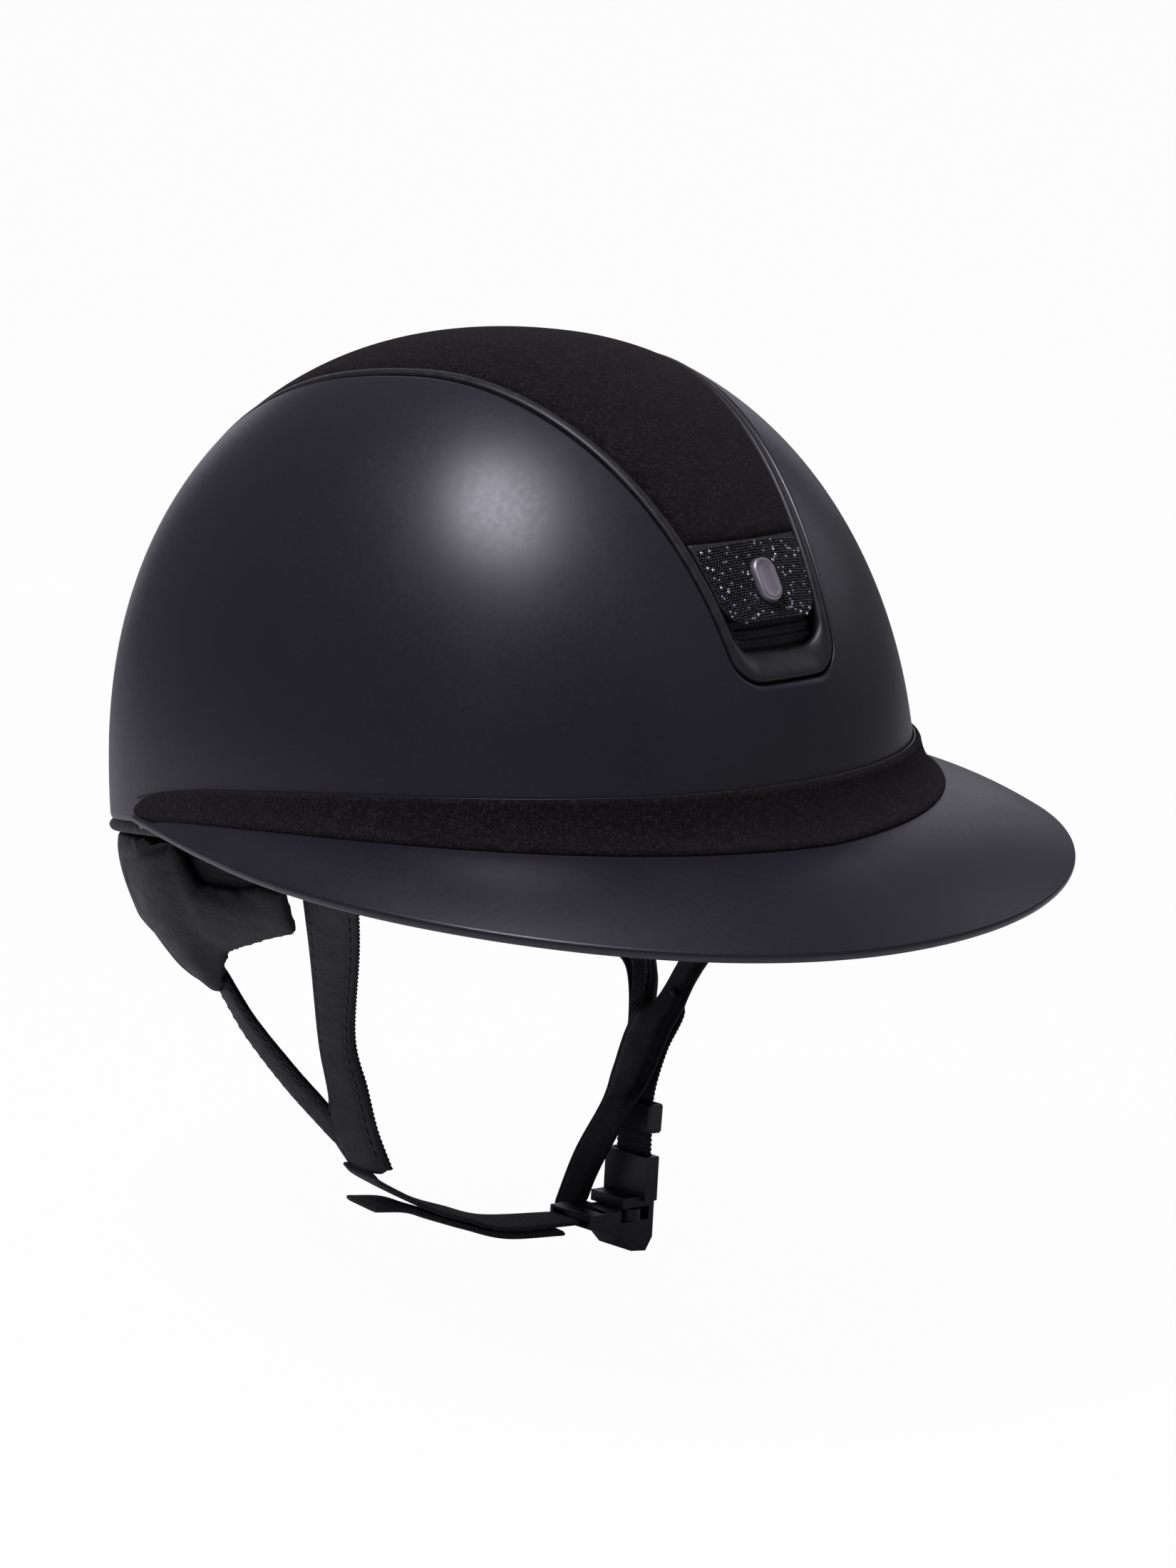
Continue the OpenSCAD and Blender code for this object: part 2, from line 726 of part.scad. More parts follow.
left_rear_front_edge = [[73.5, 44, -53], [77.5, 28, -64.5], [72.5, 18.5, -71], [64.5, 10.5, -76]];
left_rear_back_edge = [[71, 59, -60], [74, 43.5, -67.5], [68.5, 29, -71], [58.5, 16.5, -83]];

module right_front_sleeve() {
    color(leather_colour) strap(right_front_edge, right_back_edge, sleeve_t);
}

module right_rear_sleeve() {
    color(leather_colour) strap(right_rear_front_edge, right_rear_back_edge, sleeve_t);
}

// The left front sleeve runs on down as the pad between the buckle and the cheek.
module left_front_sleeve() {
    color(leather_colour) strap(left_front_edge, left_back_edge, sleeve_t, n = 26);
}

module left_rear_sleeve() {
    color(leather_colour) strap(left_rear_front_edge, left_rear_back_edge, sleeve_t);
}

// How far along +X a webbing's middle lies from a right sleeve's, towards the head.
behind_sleeve = (sleeve_t + webbing_t) / 2 + 0.4;

// A strip of webbing behind a sleeve, on the middle line between its two edges.
module webbing_behind(front, rear, lift, share) {
    n = len(front) - 1;
    function edge(side) = [
        for (i = [0:n])
            let (across = rear[i] - front[i])
            mix(front[i], rear[i], 0.5) + side * share * across / 2
    ];
    strap(edge(-1), edge(1), webbing_t, lift);
}

module right_webbing() {
    color(webbing_colour)
        webbing_behind(right_front_edge, right_back_edge, behind_sleeve, 0.75);
}

module left_webbing() {
    front = [[60.3, -7, -76], [51.4, -9, -87], [45, chin_y - webbing_w / 2, -98]];
    rear = [[66.6, 8, -76], [55.9, 6, -87], [47.3, chin_y + webbing_w / 2, -98]];
    color(webbing_colour) strap(front, rear, webbing_t, n = 8);
}

module rear_webbing() {
    color(webbing_colour) {
        webbing_behind(right_rear_front_edge, right_rear_back_edge, behind_sleeve, 0.6);
        webbing_behind(left_rear_front_edge, left_rear_back_edge, -behind_sleeve, 0.6);
    }
}

// Middle line of the webbing under the chin, from the right sleeve to the plug.
chin_line = [[-62.3, 0, -108.2], [-44, 0, -119], [-30, 0, -125], [-14, 0, -131], [14, 0, -135.2]];
tail_line = [
    [-65.5, 0, -115], [-54, 0, -117.4], [-45.1, 0, -121.2],
    [-30.9, 0, -127.2], [-14.6, 0, -133.3], [8, 0, -137.1]
];

module chin_layer(line) {
    front = [for (p = line) p + [0, chin_y - webbing_w / 2, 0]];
    rear = [for (p = line) p + [0, chin_y + webbing_w / 2, 0]];
    color(webbing_colour) strap(front, rear, webbing_t);
}

module chin_strap() {
    chin_layer(chin_line);
}

module strap_tail() {
    chin_layer(tail_line);
}

// ---------------------------------------------------------------- buckle

// The plug's own frame: x runs from the chin strap into the socket, z is its thickness.
module buckle_frame() {
    translate(plug_start) rotate([0, -buckle_tilt, 0]) children();
}

function in_buckle(x, z) =
    plug_start + [
        x * cos(buckle_tilt) - z * sin(buckle_tilt), 0,
        x * sin(buckle_tilt) + z * cos(buckle_tilt)
    ];

plug_body_start = 11.5;
plug_body_end = 24.5;
arm_start = plug_body_end + 0.4;
arm_end = 36;
arm_in = 3.7;
arm_w = 1.7;
socket_mouth = 26.5;
socket_depth = 37.5;
ladder_x = 33.6;
ladder_t = 5.2;
ladder_low = 4;
ladder_h = 14;

module buckle_plug() {
    pocket = 3.6;
    bar = 2.4;
    window = 2.6;
    rail = 2;
    color(plastic_colour)
        buckle_frame()
            union() {
                difference() {
                    translate([plug_body_start, -buckle_w / 2 - rail, -plug_t / 2 - 0.4])
                        cube([plug_body_end - plug_body_start, buckle_w + 2 * rail, plug_t + 0.8]);
                    translate([plug_body_start - 1, -buckle_w / 2 - 0.4, -plug_t / 2 + 0.3])
                        cube([pocket + 1, buckle_w + 0.8, plug_t - 0.6]);
                    translate([plug_body_start + pocket + bar, -buckle_w / 2 - 0.4, -plug_t])
                        cube([window, buckle_w + 0.8, 2 * plug_t]);
                }
                translate([plug_body_end - 1, -1.4, -plug_t / 2])
                    cube([arm_end - plug_body_end, 2.8, plug_t]);
            }
}

// One sprung arm of the plug, with the grip that is squeezed to free the buckle.
module plug_arm(side) {
    y = side > 0 ? arm_in : -arm_in - arm_w;
    grip_x = 31.5;
    color(plastic_colour)
        buckle_frame()
            translate([0, 0, -plug_t / 2])
                linear_extrude(plug_t)
                    union() {
                        translate([arm_start, y]) square([arm_end - arm_start - 1, arm_w]);
                        translate([arm_end - 1, y + arm_w / 2]) circle(d = arm_w);
                        intersection() {
                            translate([grip_x, side * (arm_in + arm_w - 0.2)]) circle(r = 3.4);
                            translate([grip_x - 4, side > 0 ? arm_in + 0.4 : -arm_in - 6.4])
                                square([8, 6]);
                        }
                    }
}

module plug_arm_front() {
    plug_arm(-1);
}

module plug_arm_rear() {
    plug_arm(1);
}

// Socket: a deep angular body that takes the plug, with a webbing ladder above it.
module buckle_socket() {
    strap_slot = 2.6;
    rung_gap = 2.8;
    guide_w = buckle_w + 0.8;
    body = [
        [socket_mouth, 5.5], [socket_mouth, -7], [31, -11.6], [37, -12.2],
        [39.6, -8], [39.6, 4], [35.5, 5.5]
    ];
    color(plastic_colour)
        buckle_frame()
            difference() {
                union() {
                    translate([0, buckle_w / 2, 0])
                        rotate([90, 0, 0]) linear_extrude(buckle_w) polygon(body);
                    translate([ladder_x, -buckle_w / 2 - 2, ladder_low])
                        cube([ladder_t, buckle_w + 4, ladder_h]);
                }
                translate([socket_mouth - 1, -buckle_w, -socket_slot])
                    cube([socket_depth - socket_mouth + 1, 2 * buckle_w, 2 * socket_slot]);
                translate([ladder_x + (ladder_t - strap_slot) / 2, -guide_w / 2, ladder_low + 2.6])
                    cube([strap_slot, guide_w, ladder_h]);
                for (z = [3.4, 9])
                    translate([ladder_x + ladder_t - 2, -guide_w / 2, ladder_low + z])
                        cube([3, guide_w, rung_gap]);
            }
}

adjuster_tilt = 6;
adjuster_at = [43.7, chin_y, -107.2];
adjuster_way = [sin(adjuster_tilt), 0, cos(adjuster_tilt)];

// Webbing from above the adjuster down into the slot of the socket's ladder.
module socket_webbing() {
    edge_y = chin_y - webbing_w / 2;
    slot_x = ladder_x + ladder_t / 2;
    middle_line = [
        adjuster_at + 7 * adjuster_way, adjuster_at - 7 * adjuster_way,
        in_buckle(slot_x, ladder_low + ladder_h), in_buckle(slot_x, ladder_low + 4)
    ];
    front = [for (p = middle_line) [p.x, edge_y, p.z]];
    rear = [for (p = front) p + [0, webbing_w, 0]];
    color(webbing_colour) strap(front, rear, webbing_t, n = 10);
}

// Slider that sets how high the harness's V sits on the cheek.
module strap_adjuster() {
    adjuster_h = 9;
    adjuster_x = 5.6;
    opening_x = 3.4;
    color(plastic_colour)
        translate(adjuster_at)
            rotate([0, adjuster_tilt, 0])
                difference() {
                    translate([-adjuster_x / 2, -buckle_w / 2 - 2, -adjuster_h / 2])
                        cube([adjuster_x, buckle_w + 4, adjuster_h]);
                    translate([-opening_x / 2, -buckle_w / 2 - 0.6, -adjuster_h])
                        cube([opening_x, buckle_w + 1.2, 2 * adjuster_h]);
                }
}

outer_shell();
channel_frame();
top_panel_plate();
top_panel_suede();
insert_plate();
insert_beads();
insert_crystals();
badge();
front_vent_mesh();
rear_vent_grille();
brim();
brim_band();
rim_piping();
foam_liner();
crown_pad();
headband_pad();
liner_tabs();
nape_cover();
nape_piping();
front_anchors();
rear_anchors();
front_eyelets();
right_front_sleeve();
right_rear_sleeve();
left_front_sleeve();
left_rear_sleeve();
right_webbing();
left_webbing();
rear_webbing();
chin_strap();
strap_tail();
buckle_plug();
plug_arm_front();
plug_arm_rear();
buckle_socket();
socket_webbing();
strap_adjuster();
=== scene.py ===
"""Looks of the riding helmet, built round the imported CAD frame.

Lengths in the shape code are millimetres and are turned into metres when a mesh is made.
Front is -Y, the wearer's right is -X and up is +Z.
"""

import math
import random

import bpy
import numpy as np
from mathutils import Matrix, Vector

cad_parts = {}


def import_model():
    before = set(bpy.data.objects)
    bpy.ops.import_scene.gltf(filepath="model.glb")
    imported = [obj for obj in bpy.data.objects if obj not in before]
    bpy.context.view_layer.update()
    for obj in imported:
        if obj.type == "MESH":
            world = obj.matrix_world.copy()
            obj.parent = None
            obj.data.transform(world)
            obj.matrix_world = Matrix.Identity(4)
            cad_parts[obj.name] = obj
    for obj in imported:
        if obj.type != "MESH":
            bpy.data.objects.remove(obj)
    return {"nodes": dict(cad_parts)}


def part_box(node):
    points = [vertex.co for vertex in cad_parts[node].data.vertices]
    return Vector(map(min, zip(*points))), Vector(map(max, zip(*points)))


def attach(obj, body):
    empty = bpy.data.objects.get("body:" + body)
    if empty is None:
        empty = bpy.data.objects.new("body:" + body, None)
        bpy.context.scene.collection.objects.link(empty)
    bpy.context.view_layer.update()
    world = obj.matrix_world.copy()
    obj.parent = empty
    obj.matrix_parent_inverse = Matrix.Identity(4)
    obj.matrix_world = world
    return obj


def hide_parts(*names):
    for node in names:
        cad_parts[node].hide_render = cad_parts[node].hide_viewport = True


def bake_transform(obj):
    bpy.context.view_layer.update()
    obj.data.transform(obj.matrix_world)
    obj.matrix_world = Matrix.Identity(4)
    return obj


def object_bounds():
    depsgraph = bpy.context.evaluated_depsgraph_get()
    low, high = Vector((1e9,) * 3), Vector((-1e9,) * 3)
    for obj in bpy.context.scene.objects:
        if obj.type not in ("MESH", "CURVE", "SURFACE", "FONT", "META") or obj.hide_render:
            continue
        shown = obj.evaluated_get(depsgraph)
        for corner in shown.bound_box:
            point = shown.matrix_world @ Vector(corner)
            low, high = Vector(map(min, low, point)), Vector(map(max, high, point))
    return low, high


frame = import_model()
first_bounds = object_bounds()
random.seed(7)

MM = 0.001


# ---------------------------------------------------------------- small maths

def mix(a, b, s):
    return a + (b - a) * s


def ease(s):
    s = np.clip(s, 0, 1)
    return s * s * (3 - 2 * s)


def spow(v, e):
    return np.sign(v) * np.abs(v) ** e


def sind(v):
    return np.sin(np.radians(v))


def cosd(v):
    return np.cos(np.radians(v))


def unit(v):
    return v / np.maximum(np.linalg.norm(v, axis=-1, keepdims=True), 1e-9)


def points(*p):
    return np.array(p, float)


def together(*values):
    """Numbers and arrays as float arrays of one shape."""
    return np.broadcast_arrays(*[np.asarray(v, float) for v in values])


def curve(p, n):
    """Smooth curve of n + 1 points, evenly spaced along its length, through the points p."""
    p = np.asarray(p, float)
    ends = np.vstack([2 * p[0] - p[1], p, 2 * p[-1] - p[-2]])
    s = np.linspace(0, len(p) - 1, 40 * len(p))
    i = np.minimum(s.astype(int), len(p) - 2)
    f = (s - i)[:, None]
    a, b, c, d = ends[i], ends[i + 1], ends[i + 2], ends[i + 3]
    fine = b + 0.5 * f * ((c - a) + f * ((2 * a - 5 * b + 4 * c - d) + f * (3 * b - a - 3 * c + d)))
    length = np.concatenate([[0], np.cumsum(np.linalg.norm(np.diff(fine, axis=0), axis=1))])
    at = np.linspace(0, length[-1], n + 1)
    return np.stack([np.interp(at, length, fine[:, k]) for k in range(p.shape[1])], -1)


def box_mm(node):
    low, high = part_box(node)
    return np.array(low) / MM, np.array(high) / MM


# ---------------------------------------------------------------- shell surface

PLAN_POWER = 2.08
FRONT_POWER = 2.0
REAR_POWER = 2.25
SIDE_POWER = 2.15
CROWN_SHIFT = -2
SUEDE_INSET = 1.0

shell_low, shell_high = box_mm("outer_shell")
HALF_W = shell_high[0]
FRONT = -shell_low[1]
REAR = shell_high[1]
CROWN = box_mm("top_panel_suede")[1][2] + SUEDE_INSET
RIM_DROP = -shell_low[2]
SHELL_T = 3.5
SHELL_RADIUS = 115

# Channel over the crown
CHANNEL_FRONT_W = 16.8
CHANNEL_REAR_W = 45.5
CHANNEL_FRONT_Z = 50
CHANNEL_REAR_Z = 56
CORNER_R = 9
FRAME_GAP = 0.5
FRAME_W = 3.6
RAMP_W = 9.5
PANEL_EDGE = FRAME_W + 0.3
INSERT_LOW_Z = 66.5
INSERT_HIGH_Z = 87.5
OUTLET_H = 13


def profile_power(u):
    ahead = cosd(u) ** 2
    return np.where(cosd(u) > 0, FRONT_POWER, REAR_POWER) * ahead + SIDE_POWER * (1 - ahead)


def shell_pt(u, t, inset=0.0):
    """Point of the shell at plan angle u (0 front, 90 left ear) and elevation t, moved inwards."""
    u, t, inset = together(u, t, inset)
    e = profile_power(u)
    reach = np.abs(cosd(t)) ** (2 / e)
    rise = spow(sind(t), 2 / e)
    length = np.where(cosd(u) > 0, FRONT, REAR) - inset
    return np.stack([
        (HALF_W - inset) * spow(sind(u), 2 / PLAN_POWER) * reach,
        -length * spow(cosd(u), 2 / PLAN_POWER) * reach + CROWN_SHIFT * rise * np.abs(rise),
        (CROWN - inset) * rise,
    ], -1)


def tilt_at(u, z, inset=0.0):
    return np.degrees(np.arcsin(np.clip(spow(z / (CROWN - inset), profile_power(u) / 2), -1, 1)))


def shell_at(u, z, inset=0.0):
    return shell_pt(u, tilt_at(u, z, inset), inset)


def rim_z(u):
    past = np.clip(np.abs(u) - 90, 0, 90)
    return -RIM_DROP * sind(past) ** 1.5


def ring_angles(n):
    v = -180 + 360 * np.arange(n) / n
    return v - 22 * sind(2 * v)


def rear_angles(low, high, n):
    """Plan angles round the back from one ear to the other, kept between -180 and 180."""
    u = np.linspace(low, high, n)
    return np.where(u > 180, u - 360, u)


def channel_half_w(y):
    q = np.maximum(0, (y + FRONT) / FRONT)
    return mix(CHANNEL_FRONT_W, CHANNEL_REAR_W, sind(90 * np.minimum(1, q / 1.3)))


def edge_tilt(u, edge, front_edge=None):
    """Elevation at which the line of plan angle u crosses the channel's edge, moved in by edge."""
    front_edge = edge if front_edge is None else front_edge
    r = np.maximum(2, CORNER_R - edge)
    low, high = np.zeros(np.broadcast(u, edge).shape), np.full(np.broadcast(u, edge).shape, 90.0)
    for _ in range(22):
        middle = (low + high) / 2
        p = shell_pt(u, middle)
        w = channel_half_w(p[..., 1]) - edge
        z_end = np.where(p[..., 1] < 0, CHANNEL_FRONT_Z + front_edge, CHANNEL_REAR_Z + edge)
        past_x, past_z = np.abs(p[..., 0]) - (w - r), z_end + r - p[..., 2]
        corner = (past_x > 0) & (past_z > 0) & (np.hypot(past_x, past_z) > r)
        inside = (np.abs(p[..., 0]) < w) & (p[..., 2] > z_end) & ~corner
        high, low = np.where(inside, middle, high), np.where(inside, low, middle)
    return (low + high) / 2


def shell_level(p, inset):
    """Under 1 inside the shell moved in by inset and over 1 outside it."""
    rise = np.clip(p[..., 2] / (CROWN - inset), 0, 1.5)
    y = p[..., 1] - CROWN_SHIFT * rise * rise
    length = np.where(y < 0, FRONT, REAR) - inset
    q = np.abs(p[..., 0] / (HALF_W - inset)) ** PLAN_POWER
    r = np.abs(y / length) ** PLAN_POWER
    share = r / np.maximum(q + r, 1e-9)
    e = np.where(y < 0, FRONT_POWER, REAR_POWER) * share + SIDE_POWER * (1 - share)
    return (q + r) ** (e / PLAN_POWER) + rise ** e


def along_ray(start, way, inset):
    """Where rays from inside the shell leave it."""
    low, high = np.zeros(start.shape[:-1]), np.full(start.shape[:-1], 260.0)
    for _ in range(26):
        middle = (low + high) / 2
        inside = shell_level(start + way * middle[..., None], inset) < 1
        low, high = np.where(inside, middle, low), np.where(inside, high, middle)
    return start + way * low[..., None]


def over_crown(x, angle, inset=0.0):
    """Shell point at sideways position x and at an angle from straight ahead up over the crown."""
    x, angle, inset = together(x, angle, inset)
    zero = np.zeros_like(x)
    return along_ray(np.stack([x, zero, zero], -1), np.stack([zero, -cosd(angle), sind(angle)], -1), inset)


def at_height(x, z, side, inset=0.0):
    """Shell point at x and z, on the front (side -1) or the rear (side 1)."""
    x, z, inset = together(x, z, inset)
    zero = np.zeros_like(x)
    return along_ray(np.stack([x, zero, z], -1), np.stack([zero, zero + side, zero], -1), inset)


def outward(p):
    """Direction out of the shell at the points p."""
    step = 0.5
    grad = [shell_level(p + step * axis, 0) - shell_level(p - step * axis, 0) for axis in np.eye(3)]
    return unit(np.stack(grad, -1))


# ---------------------------------------------------------------- meshes

class Piece:
    """Closed shapes gathered into one mesh object. Points are in millimetres, UVs too."""

    def __init__(self, name, *materials):
        self.name = name
        self.materials = materials
        self.points, self.faces, self.uvs, self.slots = [], [], [], []
        self.count = 0

    def add(self, pts, faces, uvs, slot=0):
        """pts (n, 3), faces (f, k) and one UV for each face corner (f, k, 2)."""
        pts = np.asarray(pts, float).reshape(-1, 3)
        faces = np.asarray(faces, int)
        self.points.append(pts)
        self.faces.append(faces + self.count)
        self.uvs.append(np.asarray(uvs, float))
        self.slots.append(np.full(len(faces), slot))
        self.count += len(pts)

    def loft(self, rings, closed=False, slot=0):
        """Closed loops of points rings[i][j] joined along i, capped at both ends unless closed."""
        rings = np.asarray(rings, float)
        n, k = rings.shape[:2]
        around = np.linalg.norm(np.diff(rings, axis=1, append=rings[:, :1]), axis=2).mean(0)
        v = np.concatenate([[0], np.cumsum(around)])
        along = np.linalg.norm(np.diff(rings, axis=0, append=rings[:1]), axis=2).mean(1)
        u = np.concatenate([[0], np.cumsum(along)])
        i, j = np.meshgrid(np.arange(n if closed else n - 1), np.arange(k), indexing="ij")
        i, j = i.ravel(), j.ravel()
        i2, j2 = (i + 1) % n, (j + 1) % k
        quads = np.stack([i * k + j, i2 * k + j, i2 * k + j2, i * k + j2], -1)
        corners = ((i, j), (i + 1, j), (i + 1, j + 1), (i, j + 1))
        uv = np.stack([np.stack([u[a], v[b]], -1) for a, b in corners], 1)
        if not closed:
            m = np.arange(k // 2 - 1)
            first = np.stack([m, m + 1, k - 2 - m, k - 1 - m], -1)
            last = first[:, ::-1] + (n - 1) * k
            cap = np.stack([np.stack([np.zeros(len(m)), v[c]], -1) for c in first.T], 1)
            quads = np.concatenate([quads, first, last])
            uv = np.concatenate([uv, cap, cap[:, ::-1]])
        if self.volume(rings.reshape(-1, 3), quads) < 0:
            quads, uv = quads[:, ::-1], uv[:, ::-1]
        self.add(rings, quads, uv, slot)

    @staticmethod
    def volume(pts, quads):
        p = pts[quads]
        return (np.einsum("ij,ij->i", p[:, 0], np.cross(p[:, 1], p[:, 2]))
                + np.einsum("ij,ij->i", p[:, 0], np.cross(p[:, 2], p[:, 3]))).sum()

    def stitches(self, path, normal, length=2.6, gap=1.2, radius=0.32, slot=1):
        """A row of raised stitches along a path, each a small capsule half sunk in the surface."""
        along = np.concatenate([[0], np.cumsum(np.linalg.norm(np.diff(path, axis=0), axis=1))])
        pitch = length + gap
        count = max(1, int(along[-1] // pitch))
        start = (along[-1] - count * pitch + gap) / 2
        sides = 6
        for s in range(count):
            at = start + s * pitch + np.array([0, 0.2, 0.5, 0.8, 1]) * length
            mid = np.stack([np.interp(at, along, path[:, k]) for k in range(3)], -1)
            up = unit(np.stack([np.interp(at, along, normal[:, k]) for k in range(3)], -1))
            way = unit(np.gradient(mid, axis=0))
            side = unit(np.cross(way, up))
            swell = np.array([0.35, 0.9, 1, 0.9, 0.35])[:, None, None] * radius
            lift = np.array([-0.6, 0.1, 0.35, 0.1, -0.6])[:, None] * radius
            turn = np.arange(sides) * 360 / sides
            ring = side[:, None] * cosd(turn)[None, :, None] + up[:, None] * sind(turn)[None, :, None] * 0.8
            self.loft((mid + up * lift)[:, None] + ring * swell, slot=slot)

    def build(self):
        mesh = bpy.data.meshes.new(self.name)
        pts = np.concatenate(self.points) * MM
        corner_counts = np.concatenate([np.full(len(f), f.shape[1]) for f in self.faces])
        corners = np.concatenate([f.ravel() for f in self.faces])
        mesh.vertices.add(len(pts))
        mesh.vertices.foreach_set("co", pts.ravel())
        mesh.loops.add(len(corners))
        mesh.loops.foreach_set("vertex_index", corners)
        mesh.polygons.add(len(corner_counts))
        mesh.polygons.foreach_set("loop_start", np.concatenate([[0], np.cumsum(corner_counts)[:-1]]))
        mesh.polygons.foreach_set("material_index", np.concatenate(self.slots))
        mesh.update(calc_edges=True)
        layer = mesh.uv_layers.new(name="UVMap")
        layer.data.foreach_set("uv", np.concatenate([u.reshape(-1, 2) for u in self.uvs]).ravel())
        mesh.validate()
        mesh.polygons.foreach_set("use_smooth", np.ones(len(mesh.polygons), bool))
        for material in self.materials:
            mesh.materials.append(material)
        obj = bpy.data.objects.new(self.name, mesh)
        bpy.context.scene.collection.objects.link(obj)
        return obj


def place(obj, body, slot, *nodes):
    """The piece rides on a body and stands for these CAD nodes, which it hides; slot is not used."""
    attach(obj, body)
    if nodes:
        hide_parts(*nodes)
    return obj


def rounded(t, steps=6):
    """Half circle from 0 to 1 and back, for the rolled edge of a sheet: (inwards, across) shares."""
    turn = np.linspace(0, 180, steps)
    return 1 - sind(turn), (1 - cosd(turn)) / 2 * t


# ---------------------------------------------------------------- materials

class Nodes:
    """Short ways of making a material's node tree. Positions are in millimetres."""

    def __init__(self, name):
        self.material = bpy.data.materials.new(name)
        self.material.use_nodes = True
        self.tree = self.material.node_tree
        self.shader = self.tree.nodes["Principled BSDF"]
        coords = self.tree.nodes.new("ShaderNodeTexCoord")
        scaled = self.tree.nodes.new("ShaderNodeVectorMath")
        scaled.operation = "SCALE"
        scaled.inputs["Scale"].default_value = 1 / MM
        self.tree.links.new(coords.outputs["Object"], scaled.inputs[0])
        self.place = scaled.outputs[0]
        self.uv = coords.outputs["UV"]

    def put(self, socket, value):
        if isinstance(value, bpy.types.NodeSocket):
            self.tree.links.new(value, socket)
        elif isinstance(value, (tuple, list)) and len(value) == 3 and socket.type == "RGBA":
            socket.default_value = (*value, 1)
        else:
            socket.default_value = value

    def add(self, kind, inputs=(), **settings):
        node = self.tree.nodes.new(kind)
        for key, value in settings.items():
            setattr(node, key, value)
        for key, value in dict(inputs).items():
            self.put(node.inputs[key], value)
        return node

    def noise(self, scale, detail=3, rough=0.5, at=None):
        inputs = {"Vector": at or self.place, "Scale": scale, "Detail": detail, "Roughness": rough}
        return self.add("ShaderNodeTexNoise", inputs).outputs["Fac"]

    def cells(self, scale, feature="F1", output="Distance", at=None, jitter=1.0):
        inputs = {"Vector": at or self.place, "Scale": scale, "Randomness": jitter}
        return self.add("ShaderNodeTexVoronoi", inputs, feature=feature).outputs[output]

    def math(self, operation, a, b=0.0, clamp=False):
        node = self.add("ShaderNodeMath", operation=operation, use_clamp=clamp)
        self.put(node.inputs[0], a)
        self.put(node.inputs[1], b)
        return node.outputs[0]

    def split(self, vector):
        return self.add("ShaderNodeSeparateXYZ", {0: vector}).outputs

    def stretch(self, vector, x=1.0, y=1.0, z=1.0, turn=0.0):
        node = self.add("ShaderNodeMapping", {"Vector": vector})
        node.inputs["Scale"].default_value = (x, y, z)
        node.inputs["Rotation"].default_value = (0, 0, math.radians(turn))
        return node.outputs[0]

    def spread(self, value, low, high, to_low=0.0, to_high=1.0):
        inputs = {"Value": value, "From Min": low, "From Max": high, "To Min": to_low, "To Max": to_high}
        return self.add("ShaderNodeMapRange", inputs).outputs[0]

    def colours(self, factor, a, b):
        node = self.add("ShaderNodeMix", data_type="RGBA")
        self.put(node.inputs[0], factor)
        self.put(node.inputs[6], a)
        self.put(node.inputs[7], b)
        return node.outputs[2]

    def bump(self, height, depth_mm, strength=1.0, normal=None):
        node = self.add("ShaderNodeBump", {"Height": height, "Strength": strength, "Distance": depth_mm * MM})
        if normal is not None:
            self.put(node.inputs["Normal"], normal)
        return node.outputs[0]

    def finish(self, **inputs):
        for key, value in inputs.items():
            self.put(self.shader.inputs[key.replace("_", " ")], value)
        return self.material

    def random_part(self):
        return self.add("ShaderNodeNewGeometry").outputs["Random Per Island"]


def shell_paint():
    """Satin navy-black paint with fine sparkle, faint orange peel and light wear marks."""
    n = Nodes("shell_paint")
    fleck = n.spread(n.cells(2.6, output="Color"), 0.55, 1.0)
    tone = n.colours(n.math("MULTIPLY", fleck, 0.5), (0.0108, 0.0100, 0.0158), (0.0225, 0.0215, 0.0335))
    cloud = n.spread(n.noise(0.03, 4), 0.3, 0.7, 0.36, 0.42)
    wear = n.spread(n.noise(0.6, 4), 0.35, 0.7, -0.02, 0.03)
    rough = n.math("ADD", cloud, wear)
    peel = n.bump(n.noise(0.55, 2), 0.03, 0.35)
    grain = n.bump(n.noise(5.5, 3, 0.7), 0.03, 0.5, peel)
    return n.finish(Base_Color=tone, Roughness=rough, Normal=grain, Specular_IOR_Level=0.5,
                    Coat_Weight=0.12, Coat_Roughness=0.3)


def suede_nap():
    """Napped synthetic suede: mottled, brushed patches and a soft sheen."""
    n = Nodes("suede_nap")
    patch = n.noise(0.16, 5, 0.62)
    fibre = n.noise(1.0, 6, 0.85)
    brushed = n.noise(1.0, 5, 0.65, n.stretch(n.place, 0.5, 1.6, 1.0, 25))
    tone = n.colours(n.spread(patch, 0.35, 0.65), (0.0030, 0.0021, 0.0030), (0.0082, 0.0060, 0.0077))
    tone = n.colours(n.spread(fibre, 0.49, 0.64, 0.0, 0.85), tone, (0.050, 0.038, 0.047))
    tone = n.colours(n.spread(brushed, 0.4, 0.65, 0.0, 0.5), tone, (0.0055, 0.0042, 0.0052))
    height = n.math("ADD", fibre, n.math("MULTIPLY", patch, 0.5))
    return n.finish(Base_Color=tone, Roughness=0.95, Specular_IOR_Level=0.15, Sheen_Weight=0.07,
                    Sheen_Roughness=0.45, Sheen_Tint=(0.5, 0.46, 0.5), Normal=n.bump(height, 0.6, 0.85))


